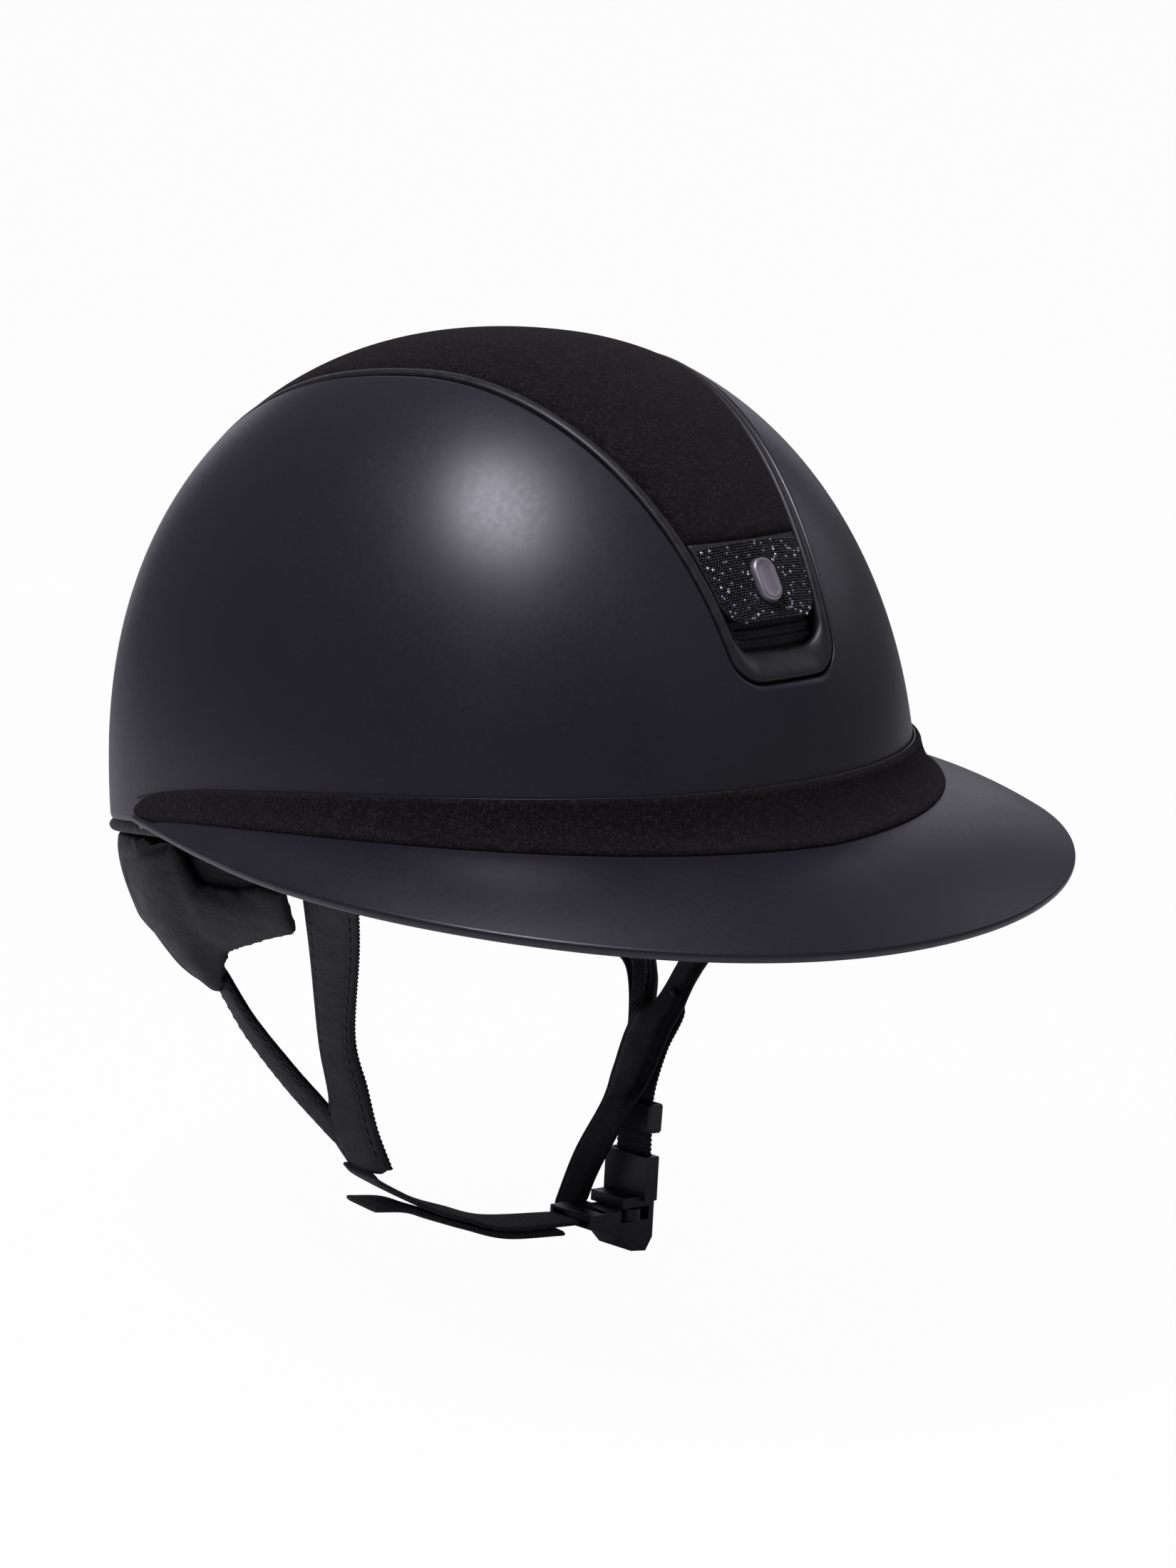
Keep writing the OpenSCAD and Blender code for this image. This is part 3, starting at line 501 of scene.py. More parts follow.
def leatherette():
    """Soft synthetic leather with a pebbled grain and slight creases, painted darker in their low folds as
    painted shade.
    """
    n = Nodes("leatherette")
    pebble = n.cells(1.15, "DISTANCE_TO_EDGE")
    pore = n.noise(6, 2)
    crease = n.noise(0.12, 4, 0.6, n.stretch(n.place, 1, 1, 2.5))
    height = n.math("ADD", n.spread(pebble, 0, 0.25), n.math("MULTIPLY", pore, 0.35))
    # Painted shade: the tone follows the crease height, darker in the low folds.
    tone = n.colours(n.spread(crease, 0.35, 0.7), (0.0040, 0.0032, 0.0041), (0.0080, 0.0068, 0.0081))
    rough = n.spread(crease, 0.3, 0.7, 0.48, 0.62)
    soft = n.bump(crease, 0.9, 0.5)
    return n.finish(Base_Color=tone, Roughness=rough, Normal=n.bump(height, 0.14, 0.55, soft),
                    Specular_IOR_Level=0.3, Sheen_Weight=0.04)


def thread():
    n = Nodes("thread")
    u = n.split(n.stretch(n.uv, 1, 1, 1, 30))[0]
    twist = n.math("SINE", n.math("MULTIPLY", u, 14.0))
    return n.finish(Base_Color=n.colours(n.noise(2, 2), (0.02, 0.019, 0.022), (0.05, 0.047, 0.052)),
                    Roughness=0.6, Normal=n.bump(twist, 0.05, 0.6))


def webbing():
    """Woven narrow fabric: ribs across with a twill along them, painted darker in the hollows of the weave as
    painted shade.
    """
    n = Nodes("webbing")
    along, across, _ = n.split(n.uv)
    rib = n.math("ABSOLUTE", n.math("SINE", n.math("MULTIPLY", along, math.pi / 1.3)))
    weft = n.math("MULTIPLY", along, math.pi / 0.65)
    wale = n.math("ADD", n.math("MULTIPLY", across, math.pi / 0.45), weft)
    twill = n.math("SINE", wale)
    fibre = n.noise(5, 4, 0.7)
    fine = n.math("ADD", n.math("MULTIPLY", twill, 0.3), n.math("MULTIPLY", fibre, 0.3))
    height = n.math("ADD", n.math("MULTIPLY", rib, 0.8), fine)
    # Painted shade: the tone follows the weave's height, darker in the hollows.
    tone = n.colours(n.spread(height, 0.2, 1.2), (0.0055, 0.0055, 0.007), (0.022, 0.0215, 0.025))
    return n.finish(Base_Color=tone, Roughness=0.78, Normal=n.bump(height, 0.28, 0.8), Sheen_Weight=0.15,
                    Sheen_Roughness=0.5)


def moulded(name, dark, light, rough, depth=0.06):
    """Moulded plastic with a spark-eroded texture and rubbed spots."""
    n = Nodes(name)
    spark = n.noise(4.2, 3, 0.65)
    worn = n.noise(0.25, 4, 0.55)
    tone = n.colours(n.spread(worn, 0.4, 0.7), dark, light)
    return n.finish(Base_Color=tone, Roughness=n.spread(worn, 0.3, 0.7, rough - 0.05, rough + 0.08),
                    Normal=n.bump(spark, depth, 0.55))


def jet_beads():
    """Small black glass beads, each a little different; a few are made bright metallic grey as painted
    glints, standing in for the sparkle of light on the beads.
    """
    n = Nodes("jet_beads")
    part = n.random_part()
    # Painted glint: a few beads turn bright metallic grey to stand in for the sparkle of light.
    painted_glint = n.spread(part, 0.9, 0.92)
    tone = n.colours(part, (0.002, 0.002, 0.003), (0.010, 0.010, 0.014))
    tone = n.colours(painted_glint, tone, (0.34, 0.34, 0.40))
    return n.finish(Base_Color=tone, Roughness=n.spread(part, 0, 1, 0.06, 0.22), Specular_IOR_Level=0.5,
                    Metallic=n.math("MULTIPLY", painted_glint, 0.7), Normal=n.bump(n.noise(3, 2), 0.03, 0.4))


def cut_stone():
    """Bright foil-backed stones."""
    n = Nodes("cut_stone")
    part = n.random_part()
    fire = n.noise(1.4, 2)
    tone = n.colours(n.spread(fire, 0.35, 0.65), (0.62, 0.64, 0.72), (0.95, 0.93, 0.97))
    return n.finish(Base_Color=tone, Metallic=n.spread(part, 0, 1, 0.75, 1.0),
                    Roughness=n.spread(part, 0, 1, 0.04, 0.14), Normal=n.bump(fire, 0.05, 0.4),
                    Coat_Weight=1.0, Coat_Roughness=0.02)


def brushed_metal(name, tone_a, tone_b, rough, direction=(1, 14, 1)):
    n = Nodes(name)
    streak = n.noise(2.2, 5, 0.7, n.stretch(n.place, *direction))
    smudge = n.noise(0.4, 3)
    tone = n.colours(streak, tone_a, tone_b)
    worn = n.spread(smudge, 0.3, 0.7, rough - 0.05, rough + 0.06)
    worn = n.math("ADD", worn, n.math("MULTIPLY", streak, 0.08))
    return n.finish(Base_Color=tone, Metallic=1.0, Normal=n.bump(streak, 0.02, 0.4),
                    Roughness=worn)


def vent_mesh():
    """Ribbed open fabric, painted darker in its hollows and holes as painted shade."""
    n = Nodes("vent_mesh")
    along, across, _ = n.split(n.uv)
    rib = n.math("ABSOLUTE", n.math("SINE", n.math("MULTIPLY", along, math.pi / 1.6)))
    hole = n.math("ABSOLUTE", n.math("SINE", n.math("MULTIPLY", across, math.pi / 1.6)))
    height = n.math("ADD", rib, n.math("MULTIPLY", hole, 0.6))
    # Painted shade: the tone follows the height, darker in the hollows and holes.
    tone = n.colours(n.spread(height, 0.3, 1.3), (0.003, 0.003, 0.004), (0.02, 0.02, 0.023))
    return n.finish(Base_Color=tone, Roughness=0.85, Normal=n.bump(height, 0.4, 0.9))


def bead_foam():
    """Moulded polystyrene: flat cells pressed together."""
    n = Nodes("bead_foam")
    wall = n.cells(0.42, "DISTANCE_TO_EDGE")
    tint = n.split(n.cells(0.42, output="Color"))[0]
    tone = n.colours(n.spread(tint, 0, 1), (0.032, 0.032, 0.036), (0.055, 0.055, 0.06))
    tone = n.colours(n.spread(wall, 0, 0.06, 1, 0), tone, (0.018, 0.018, 0.02))
    return n.finish(Base_Color=tone, Roughness=0.8, Normal=n.bump(n.spread(wall, 0, 0.15), 0.3, 0.6))


def spacer_fabric():
    """Knitted spacer mesh: hexagonal dimples with a soft nap, painted darker at the bottom of each dimple as
    painted shade.
    """
    n = Nodes("spacer_fabric")
    dimple = n.cells(0.55, jitter=0.12)
    yarn = n.noise(4, 4, 0.7)
    height = n.math("ADD", n.spread(dimple, 0.05, 0.5), n.math("MULTIPLY", yarn, 0.3))
    # Painted shade: darker at the bottom of each dimple, where the height is lowest.
    tone = n.colours(n.spread(dimple, 0.1, 0.5), (0.004, 0.004, 0.005), (0.022, 0.022, 0.026))
    return n.finish(Base_Color=tone, Roughness=0.9, Normal=n.bump(height, 0.6, 0.8), Sheen_Weight=0.2)


def hook_tape():
    n = Nodes("hook_tape")
    bristle = n.cells(2.2, jitter=0.5)
    tone = n.colours(n.spread(bristle, 0.1, 0.6), (0.035, 0.035, 0.038), (0.004, 0.004, 0.005))
    return n.finish(Base_Color=tone, Roughness=0.7, Normal=n.bump(bristle, 0.5, 0.9))


PAINT = shell_paint()
SUEDE = suede_nap()
LEATHER = leatherette()
THREAD = thread()
WEBBING = webbing()
FRAME_PLASTIC = moulded("frame_plastic", (0.010, 0.0105, 0.013), (0.017, 0.0175, 0.021), 0.42)
HIDDEN_PLASTIC = moulded("hidden_plastic", (0.008, 0.008, 0.009), (0.014, 0.014, 0.015), 0.6)
BUCKLE_PLASTIC = moulded("buckle_plastic", (0.015, 0.0142, 0.016), (0.026, 0.0245, 0.027), 0.36, 0.05)
BEADS = jet_beads()
STONES = cut_stone()
BADGE_METAL = brushed_metal("badge_metal", (0.34, 0.31, 0.34), (0.52, 0.48, 0.52), 0.42, (14, 1, 1))
STEEL = brushed_metal("steel", (0.34, 0.34, 0.35), (0.55, 0.55, 0.56), 0.28)
MESH = vent_mesh()
FOAM = bead_foam()
LINER = spacer_fabric()
HOOKS = hook_tape()


# ---------------------------------------------------------------- shell and channel

def outer_shell():
    rows, edge_steps = 40, 7
    u = ring_angles(420)[:, None]
    start, end = tilt_at(u, rim_z(u)), edge_tilt(u, 0.0)
    back, across = rounded(SHELL_T, edge_steps)
    roll = np.degrees(back * SHELL_T / 2 / SHELL_RADIUS)
    up = np.linspace(0, 1, rows)[None]
    outer = shell_pt(u, mix(start + 0.9, end - 0.9, up), 0.0)
    top = shell_pt(u, end - roll[None], across[None])
    inner = shell_pt(u, mix(end - 0.9, start + 0.9, up), SHELL_T)
    bottom = shell_pt(u, start + roll[None], SHELL_T - across[None])
    piece = Piece("shell_form", PAINT)
    piece.loft(np.concatenate([outer, top, inner, bottom], 1), closed=True)
    return place(piece.build(), "helmet", "shell", "outer_shell")


def channel_frame():
    """Flush trim along the channel that turns into a scooped ramp below the front air intake."""
    side = np.array([FRAME_GAP, 0.55, 0.8, 1.2, 2.0, 2.8, 3.2, 3.45, FRAME_W, FRAME_W, 2.6, 1.5, FRAME_GAP])
    side_inset = np.array([4.9, 0.7, 0.15, 0.0, -0.1, 0.0, 0.25, 0.6, 1.4, 4.9, 4.9, 4.9, 4.9])
    ramp = np.array([FRAME_GAP, 0.6, 1.0, 1.6, 3.2, 5.0, 7.0, 8.4, RAMP_W, RAMP_W, 6.5, 3.5, FRAME_GAP])
    ramp_inset = np.array([4.9, 0.7, 0.15, 0.1, 0.5, 1.3, 2.5, 3.4, 4.3, 4.9, 4.9, 4.9, 4.9])
    u = ring_angles(420)[:, None]
    share = ease((10 - np.abs(u)) / 5)
    tilt = edge_tilt(u, side[None] + 0 * u, ramp[None] + 0 * u)
    piece = Piece("channel_trim", FRAME_PLASTIC)
    piece.loft(shell_pt(u, tilt, mix(side_inset[None], ramp_inset[None], share)), closed=True)
    return place(piece.build(), "helmet", "frame_plastic", "channel_frame")


def over_channel(columns, rows, z_front, z_rear, margin):
    """Sideways positions and crown angles of a grid that fills the channel between two heights."""
    side = np.linspace(-1, 1, columns)[None]
    length = np.linspace(0, 1, rows)[:, None]
    x = side * 30 + 0 * length
    for _ in range(6):
        front = at_height(x[:1], z_front + 0 * x[:1], -1)
        rear = at_height(x[-1:], z_rear + 0 * x[-1:], 1)
        first = np.degrees(np.arctan2(front[..., 2], -front[..., 1]))
        last = np.degrees(np.arctan2(rear[..., 2], -rear[..., 1]))
        angle = mix(first, last, length)
        y = over_crown(x, angle)[..., 1]
        x = side * (channel_half_w(y) - PANEL_EDGE - margin)
    return x, angle


def padded_grid(name, material, x, angle, high, low, drop, soft):
    """A soft sheet over the channel whose edges fall away over the last stretch."""
    rows, columns = x.shape
    across = np.minimum(np.linspace(0, 1, columns), np.linspace(1, 0, columns))[None] * 2 * 35
    along = np.minimum(np.linspace(0, 1, rows), np.linspace(1, 0, rows))[:, None] * 200
    near = np.clip(np.minimum(across, along) / soft, 0, 1)
    fall = drop * (1 - np.sqrt(1 - (1 - near) ** 2))
    top = over_crown(x, angle, high + fall)
    under = over_crown(x, angle, low + 0 * fall)
    piece = Piece(name, material)
    piece.loft(np.concatenate([top, under[:, ::-1]], 1))
    return piece.build()


def crowded(n, power=1.6):
    """Shares from 0 to 1, closer together near both ends."""
    s = np.linspace(-1, 1, n)
    return (1 + np.sign(s) * (1 - (1 - np.abs(s)) ** power)) / 2


def top_panel():
    x, angle = over_channel(64, 110, INSERT_HIGH_Z + 0.2, CHANNEL_REAR_Z + PANEL_EDGE + OUTLET_H, 0.0)
    panel = padded_grid("suede_panel", SUEDE, x, angle, 0.2, 3.0, 1.6, 4.0)
    return place(panel, "helmet", "suede", "top_panel_suede")


def insert_half_w(z):
    y = at_height(np.zeros_like(z), z, -1)[..., 1]
    return channel_half_w(y) - PANEL_EDGE - 0.3


def rounded_half_w(z, margin=0.0):
    """Half the width of the beaded insert, whose two lower corners are round."""
    into = np.clip((z - INSERT_LOW_Z - margin) / INSERT_CORNER, 0, 1)
    return insert_half_w(z) - margin - INSERT_CORNER * (1 - np.sqrt(1 - (1 - into) ** 2))


INSERT_CORNER = 5.0


def insert_plate():
    """Plate under the beads."""
    z = mix(INSERT_LOW_Z, INSERT_HIGH_Z, np.linspace(0, 1, 40) ** 1.5)[:, None]
    x = np.linspace(-1, 1, 40)[None] * rounded_half_w(z)
    piece = Piece("bead_backing", HIDDEN_PLASTIC)
    piece.loft(np.concatenate([at_height(x, z, -1, 0.75), at_height(x, z, -1, 3.0)[:, ::-1]], 1))
    return place(piece.build(), "helmet", "hidden_plastic", "insert_plate")


def beads_and_stones():
    """Staggered rows of tiny round beads on the insert, with cut stones scattered among them."""
    pitch, radius, stone_share = 0.93, 0.46, 0.02
    row_step = pitch * math.sqrt(3) / 2
    beads = Piece("bead_field", BEADS, HIDDEN_PLASTIC)
    stones = Piece("cut_stones", STONES)
    sphere_pts, sphere_faces = ball(6, 8)
    stone_pts, stone_faces = brilliant()
    middle = at_height(0.0, (INSERT_LOW_Z + INSERT_HIGH_Z) / 2, -1)
    middle_angle = np.degrees(np.arctan2(middle[2], -middle[1]))
    rows = 18
    for r in range(-rows, rows + 1):
        angle = middle_angle + math.degrees(r * row_step / np.linalg.norm(middle))
        line = over_crown(0.0, angle)
        if not INSERT_LOW_Z + 0.5 < line[2] < INSERT_HIGH_Z + 0.4:
            continue
        half = float(rounded_half_w(line[2], 0.4))
        start = (r % 2) * pitch / 2
        for c in range(-20, 21):
            x = start + c * pitch
            if abs(x) > half:
                continue
            at = over_crown(x, angle, 0.55)
            out = outward(at)
            side = unit(np.cross([0, 0, 1.0], out))
            basis = np.stack([side, np.cross(out, side), out])
            near_badge = abs(x) < 5 and abs(r) * row_step < 8.4
            if random.random() < stone_share and not near_badge:
                stones.add(at + out * 0.3 + (stone_pts * 0.5) @ basis, stone_faces,
                           np.zeros((*stone_faces.shape, 2)))
            else:
                size = radius * random.uniform(0.88, 1.04)
                jitter = np.array([random.uniform(-0.05, 0.05), random.uniform(-0.05, 0.05),
                                   random.uniform(-0.1, 0.08)])
                beads.add(at + (sphere_pts * size + jitter) @ basis, sphere_faces,
                          np.zeros((*sphere_faces.shape, 2)))
    place(beads.build(), "helmet", "beads", "insert_beads")
    place(stones.build(), "helmet", "crystal", "insert_crystals")


def ball(rings, sides):
    """Unit sphere as quads, its poles pinched flat."""
    tilt = np.linspace(-88, 88, rings)[:, None]
    turn = np.arange(sides)[None] * 360 / sides
    axes = [cosd(tilt) * cosd(turn), cosd(tilt) * sind(turn), sind(tilt) + 0 * turn]
    pts = np.stack(axes, -1).reshape(-1, 3)
    i, j = np.meshgrid(np.arange(rings - 1), np.arange(sides), indexing="ij")
    i, j = i.ravel(), j.ravel()
    j2 = (j + 1) % sides
    quads = np.stack([i * sides + j, i * sides + j2, (i + 1) * sides + j2, (i + 1) * sides + j], -1)
    m = np.arange(sides // 2 - 1)
    low = np.stack([sides - 1 - m, sides - 2 - m, m + 1, m], -1)
    high = low[:, ::-1] + (rings - 1) * sides
    return pts, np.concatenate([quads, low, high])


def brilliant():
    """Round cut stone: flat table, sloping crown, girdle and a shallow pavilion."""
    sides = 8
    turn = np.arange(sides) * 360 / sides
    rings = [(0.45, 0.62, 0), (0.85, 0.42, 22.5), (1.0, 0.1, 0), (0.6, -0.5, 22.5)]
    pts = np.concatenate([
        np.stack([r * cosd(turn + shift), r * sind(turn + shift), np.full(sides, z)], -1)
        for r, z, shift in rings
    ])
    i, j = np.meshgrid(np.arange(len(rings) - 1), np.arange(sides), indexing="ij")
    i, j = i.ravel(), j.ravel()
    j2 = (j + 1) % sides
    quads = np.stack([(i + 1) * sides + j, (i + 1) * sides + j2, i * sides + j2, i * sides + j], -1)
    m = np.arange(sides // 2 - 1)
    top = np.stack([m, m + 1, sides - 2 - m, sides - 1 - m], -1)
    bottom = top[:, ::-1] + (len(rings) - 1) * sides
    return pts, np.concatenate([quads, top, bottom])


def badge():
    """Plain pill with a bevelled rim and a slightly sunk middle."""
    low, high = box_mm("badge")
    half_w, half_l = (high[0] - low[0]) / 2, 6.6
    middle_z = (INSERT_LOW_Z + INSERT_HIGH_Z) / 2
    at = at_height(0.0, middle_z, -1, -0.35)
    out = outward(at)
    side = unit(np.cross([0, 0, 1.0], out))
    basis = np.stack([side, np.cross(out, side), out])
    sides = 64
    turn = np.arange(sides) * 360 / sides + 180 / sides
    skirt = [(-0.3, 0.6), (0, 0.0), (0, -0.9)]
    rolled_rim = [(0.25, -1.3), (0.7, -1.5), (1.1, -1.5), (1.35, -1.3)]
    steps = skirt + rolled_rim + [(2.4, -1.2), (3.4, -1.15)]
    rings = []
    for inwards, depth in steps:
        r = half_w - inwards
        ends = np.sign(sind(turn)) * (half_l - half_w)
        flat = np.stack([r * cosd(turn), r * sind(turn) + ends, np.full(sides, -depth)], -1)
        rings.append(at + flat @ basis)
    piece = Piece("plain_badge", BADGE_METAL)
    piece.loft(rings)
    return place(piece.build(), "helmet", "badge_metal", "badge")


def front_mesh():
    """Ribbed mesh behind the front air intake, rising under the beads."""
    columns, rows = 60, 60
    z = np.linspace(CHANNEL_FRONT_Z + 8.5, INSERT_HIGH_Z - 4, rows)[:, None]
    x = np.linspace(-1, 1, columns)[None] * insert_half_w(z)
    rib = 0.9 * np.abs(sind(180 * z / 2.8)) + 0.12 * np.abs(sind(180 * x / 2.0))
    top = at_height(x, z, -1, 5.6 - rib)
    under = at_height(x, z, -1, 6.4)
    piece = Piece("intake_mesh", MESH)
    piece.loft(np.concatenate([top, under[:, ::-1]], 1))
    return place(piece.build(), "helmet", "mesh", "front_vent_mesh")


# ---------------------------------------------------------------- brim

TAIL_ANGLE = 113
BRIM_FRONT = -box_mm("brim")[0][1] - FRONT
BRIM_T = 3
BAND_TOP = 22.5
BAND_FALL = 19.5
BAND_H = 17
BAND_OFFSET = 10
PIPING_R = 1.7


def brim_reach(u):
    return 1.6 + (BRIM_FRONT - 1.6) * 0.5 * (1 + cosd(180 * (np.abs(u) / TAIL_ANGLE) ** 1.5))


def brim_edge_z(u):
    return -2 - 12 * np.maximum(0, cosd(u)) ** 3


def band_high(u):
    return BAND_TOP - BAND_FALL * (np.abs(u) / TAIL_ANGLE) ** 4


def band_low(u):
    return band_high(u) - BAND_H * (1 - 0.51 * np.abs(u) / TAIL_ANGLE)


def band_offset(u):
    return 1.2 + (BAND_OFFSET - 1.2) * cosd(90 * u / TAIL_ANGLE)


def beside_shell(u, d, z):
    p = shell_at(u, np.maximum(z, 0))
    return np.stack([p[..., 0] + d * sind(u), p[..., 1] - d * cosd(u), z + 0 * p[..., 0]], -1)


def bend(a, b, c, s):
    return mix(mix(a, b, s), mix(b, c, s), s)


def pair(d, z):
    return np.stack(together(d, z), -1)


def flare(u, s):
    low, high = band_low(u), band_high(u)
    return bend(pair(0.9, high), pair(1.1, mix(low, high, 0.25)), pair(band_offset(u), low), s)


def brim_top(u, s):
    a, c = pair(band_offset(u), band_low(u)), pair(brim_reach(u), brim_edge_z(u))
    dome = 0.1 * np.linalg.norm(c - a, axis=-1)
    return bend(a, mix(a, c, 0.5) + pair(0, dome), c, s)


def brim_under(u, s):
    a, c = pair(0.3, np.minimum(0, band_low(u) - 2)), pair(brim_reach(u) - 0.8, brim_edge_z(u) - BRIM_T)
    dome = 0.12 * np.linalg.norm(c - a, axis=-1)
    return bend(a, mix(a, c, 0.5) + pair(0, dome), c, s)


def brim():
    """Wide brim with a rounded edge, a fine bead along it and a concave flare up to the band."""
    u = np.linspace(-TAIL_ANGLE, TAIL_ANGLE, 320)
    profile = [flare(u, s) for s in np.linspace(0, 1, 12)]
    profile += [brim_top(u, s) for s in np.linspace(0.05, 0.985, 26)]
    upper, lower = brim_top(u, 0.985), brim_under(u, 0.985)
    middle, half = (upper + lower) / 2, (upper - lower) / 2
    out = np.stack([half[:, 1], -half[:, 0]], -1) * 0.75
    profile += [middle + half * cosd(t) + out * sind(t) for t in np.linspace(22, 158, 8)]
    profile += [brim_under(u, s) for s in np.linspace(0.985, 0, 22)]
    foot = np.minimum(0, band_low(u) - 2)
    profile += [pair(0.3, mix(foot, band_high(u), s)) for s in np.linspace(0.05, 1, 10)]
    rings = np.stack([beside_shell(u, p[:, 0], p[:, 1]) for p in profile], 1)
    piece = Piece("brim_form", PAINT)
    piece.loft(rings)
    return place(piece.build(), "helmet", "shell", "brim")


def brim_band():
    """Soft suede band with turned edges, tapering to round ends."""
    last = TAIL_ANGLE - 0.5
    u = last * np.sign(np.linspace(-1, 1, 300)) * np.abs(np.linspace(-1, 1, 300)) ** 0.92
    past = np.clip((np.abs(u) - last + 7) / 7, 0, 1)
    share = np.sqrt(np.maximum(0.03, 1 - past ** 2))
    steps = 26
    across = crowded(steps)
    rings = []
    for lift_side in (1, 0):
        order = across if lift_side else across[::-1]
        for s in order:
            edge = np.clip(min(s, 1 - s) / 0.13, 0, 1)
            sewn = 0.18 * math.exp(-((edge - 0.93) / 0.12) ** 2)
            puff = 0.35 + 1.15 * math.sqrt(1 - (1 - edge) ** 2) - sewn
            at = 0.5 + (s - 0.5) * share
            p = np.stack([flare(np.array(a), b) for a, b in zip(u, at)])
            tip = 75 * at
            lift = puff if lift_side else 0.15
            rings.append(beside_shell(u, p[:, 0] + lift * cosd(tip), p[:, 1] + lift * sind(tip)))
    piece = Piece("suede_band", SUEDE)
    piece.loft(np.stack(rings, 1))
    return place(piece.build(), "helmet", "suede", "brim_band")


def rim_piping():
    """Leatherette tube round the rear of the rim, with its sewn flange and slight gathers."""
    u = rear_angles(100.5, 259.5, 260)
    middle = shell_at(u, rim_z(u) - PIPING_R + 0.5, 1.2)
    piece = Piece("rim_piping_form", LEATHER)
    piece.loft(tube(middle, PIPING_R, gathers=0.12))
    return place(piece.build(), "helmet", "leatherette", "rim_piping")


def tube(path, radius, sides=20, gathers=0.0, flange=0.35):
    """Rings round a path; one side carries a small flange where the covering is sewn."""
    way = unit(np.gradient(path, axis=0))
    side = unit(np.cross(way, [0, 0, 1.0]))
    up = np.cross(side, way)
    turn = np.arange(sides) * 360 / sides
    n = len(path)
    step = np.arange(n)[:, None]
    wrinkle = 1 + gathers * 0.4 * np.sin(step * 1.7) * np.sin(step * 0.37 + 1)
    r = radius * wrinkle * (1 + 0 * turn)[None]
    r = r + flange * np.maximum(0, cosd(turn - 90)) ** 12
    fade = np.ones(n)
    fade[:4], fade[-4:] = [0.45, 0.75, 0.92, 0.99], [0.99, 0.92, 0.75, 0.45]
    r = r * fade[:, None]
    across, rise = (r * cosd(turn))[..., None], (r * sind(turn))[..., None]
    return path[:, None] + side[:, None] * across + up[:, None] * rise


# ---------------------------------------------------------------- liner

FOAM_INSET = 6.5
FOAM_T = 17
PAD_GAP = 2
PAD_INSET = FOAM_INSET + FOAM_T + PAD_GAP
PAD_T = 5
PAD_RADIUS = 110


def dome_piece(name, material, start, high, low, columns, rows):
    """A dome between two insets, rounded at its lower edge and closed by small rings at the top."""
    u = ring_angles(columns)[:, None]
    up = np.linspace(0, 1, rows)[None]
    first = start(u)
    top = 89.4
    back, across = rounded(low - high, 7)
    half = np.degrees((low - high) / 2 / PAD_RADIUS)
    outer = shell_pt(u, mix(first + half, top, up), high)
    inner = shell_pt(u, mix(top, first + half, up), low)
    edge = shell_pt(u, first + back[None] * half, low - across[None])
    piece = Piece(name, material)
    rings = np.concatenate([outer, inner, edge], 1)
    piece.loft(rings, closed=True)
    return piece.build()


def foam_liner():
    obj = dome_piece("foam_form", FOAM, lambda u: tilt_at(u, rim_z(u) + 4, FOAM_INSET), FOAM_INSET,
                     FOAM_INSET + FOAM_T, 180, 46)
    return place(obj, "helmet", "foam", "foam_liner")


def headband_low(u):
    return mix(4, -12, ease((np.abs(u) - 55) / 40))


def puff_up(obj, voxel, cap, pressure=4.0, frames=20):
    """Remeshes a soft piece and inflates it a little with the cloth solver, no point moving over cap."""
    scene = bpy.context.scene
    bpy.context.view_layer.objects.active = obj
    remesh = obj.modifiers.new("Remesh", "REMESH")
    remesh.mode = "VOXEL"
    remesh.voxel_size = voxel
    remesh.use_smooth_shade = True
    rest = evaluated(obj)
    old = obj.data
    materials = list(old.materials)
    obj.modifiers.clear()
    obj.data = rest
    before = np.empty(len(rest.vertices) * 3)
    rest.vertices.foreach_get("co", before)
    before = before.reshape(-1, 3)
    cloth = obj.modifiers.new("Cloth", "CLOTH")
    cloth.settings.quality = 6
    cloth.settings.mass = 0.2
    cloth.settings.use_pressure = True
    cloth.settings.uniform_pressure_force = pressure
    cloth.settings.tension_stiffness = 12
    cloth.settings.compression_stiffness = 12
    cloth.settings.bending_stiffness = 0.4
    cloth.settings.effector_weights.gravity = 0
    cloth.point_cache.frame_start = 1
    cloth.point_cache.frame_end = frames
    for f in range(1, frames + 1):
        scene.frame_set(f)
    moved = evaluated(obj)
    after = np.empty(len(moved.vertices) * 3)
    moved.vertices.foreach_get("co", after)
    scene.frame_set(1)
    obj.modifiers.clear()
    shift = after.reshape(-1, 3) - before
    far = np.linalg.norm(shift, axis=1, keepdims=True)
    shift = shift * np.minimum(1, cap / np.maximum(far, 1e-9))
    rest.vertices.foreach_set("co", (before + shift).ravel())
    rest.materials.clear()
    for material in materials:
        rest.materials.append(material)
    rest.polygons.foreach_set("use_smooth", np.ones(len(rest.polygons), bool))
    subdivision = obj.modifiers.new("Subdivision", "SUBSURF")
    subdivision.levels = subdivision.render_levels = 1
    final = evaluated(obj)
    obj.modifiers.clear()
    obj.data = final
    return obj


def evaluated(obj):
    graph = bpy.context.evaluated_depsgraph_get()
    source = obj.evaluated_get(graph)
    return bpy.data.meshes.new_from_object(source, preserve_all_data_layers=True, depsgraph=graph)


def sew(obj, depth):
    """Moves points inwards by depth(p) millimetres along the normal, for sewn channels."""
    mesh = obj.data
    n = len(mesh.vertices)
    co, normal = np.empty(n * 3), np.empty(n * 3)
    mesh.vertices.foreach_get("co", co)
    mesh.vertices.foreach_get("normal", normal)
    co, normal = co.reshape(-1, 3), normal.reshape(-1, 3)
    co = co - normal * (depth(co / MM) * MM)[:, None]
    mesh.vertices.foreach_set("co", co.ravel())
    mesh.update()


def groove(distance, width, depth):
    return depth * np.exp(-(distance / width) ** 2)


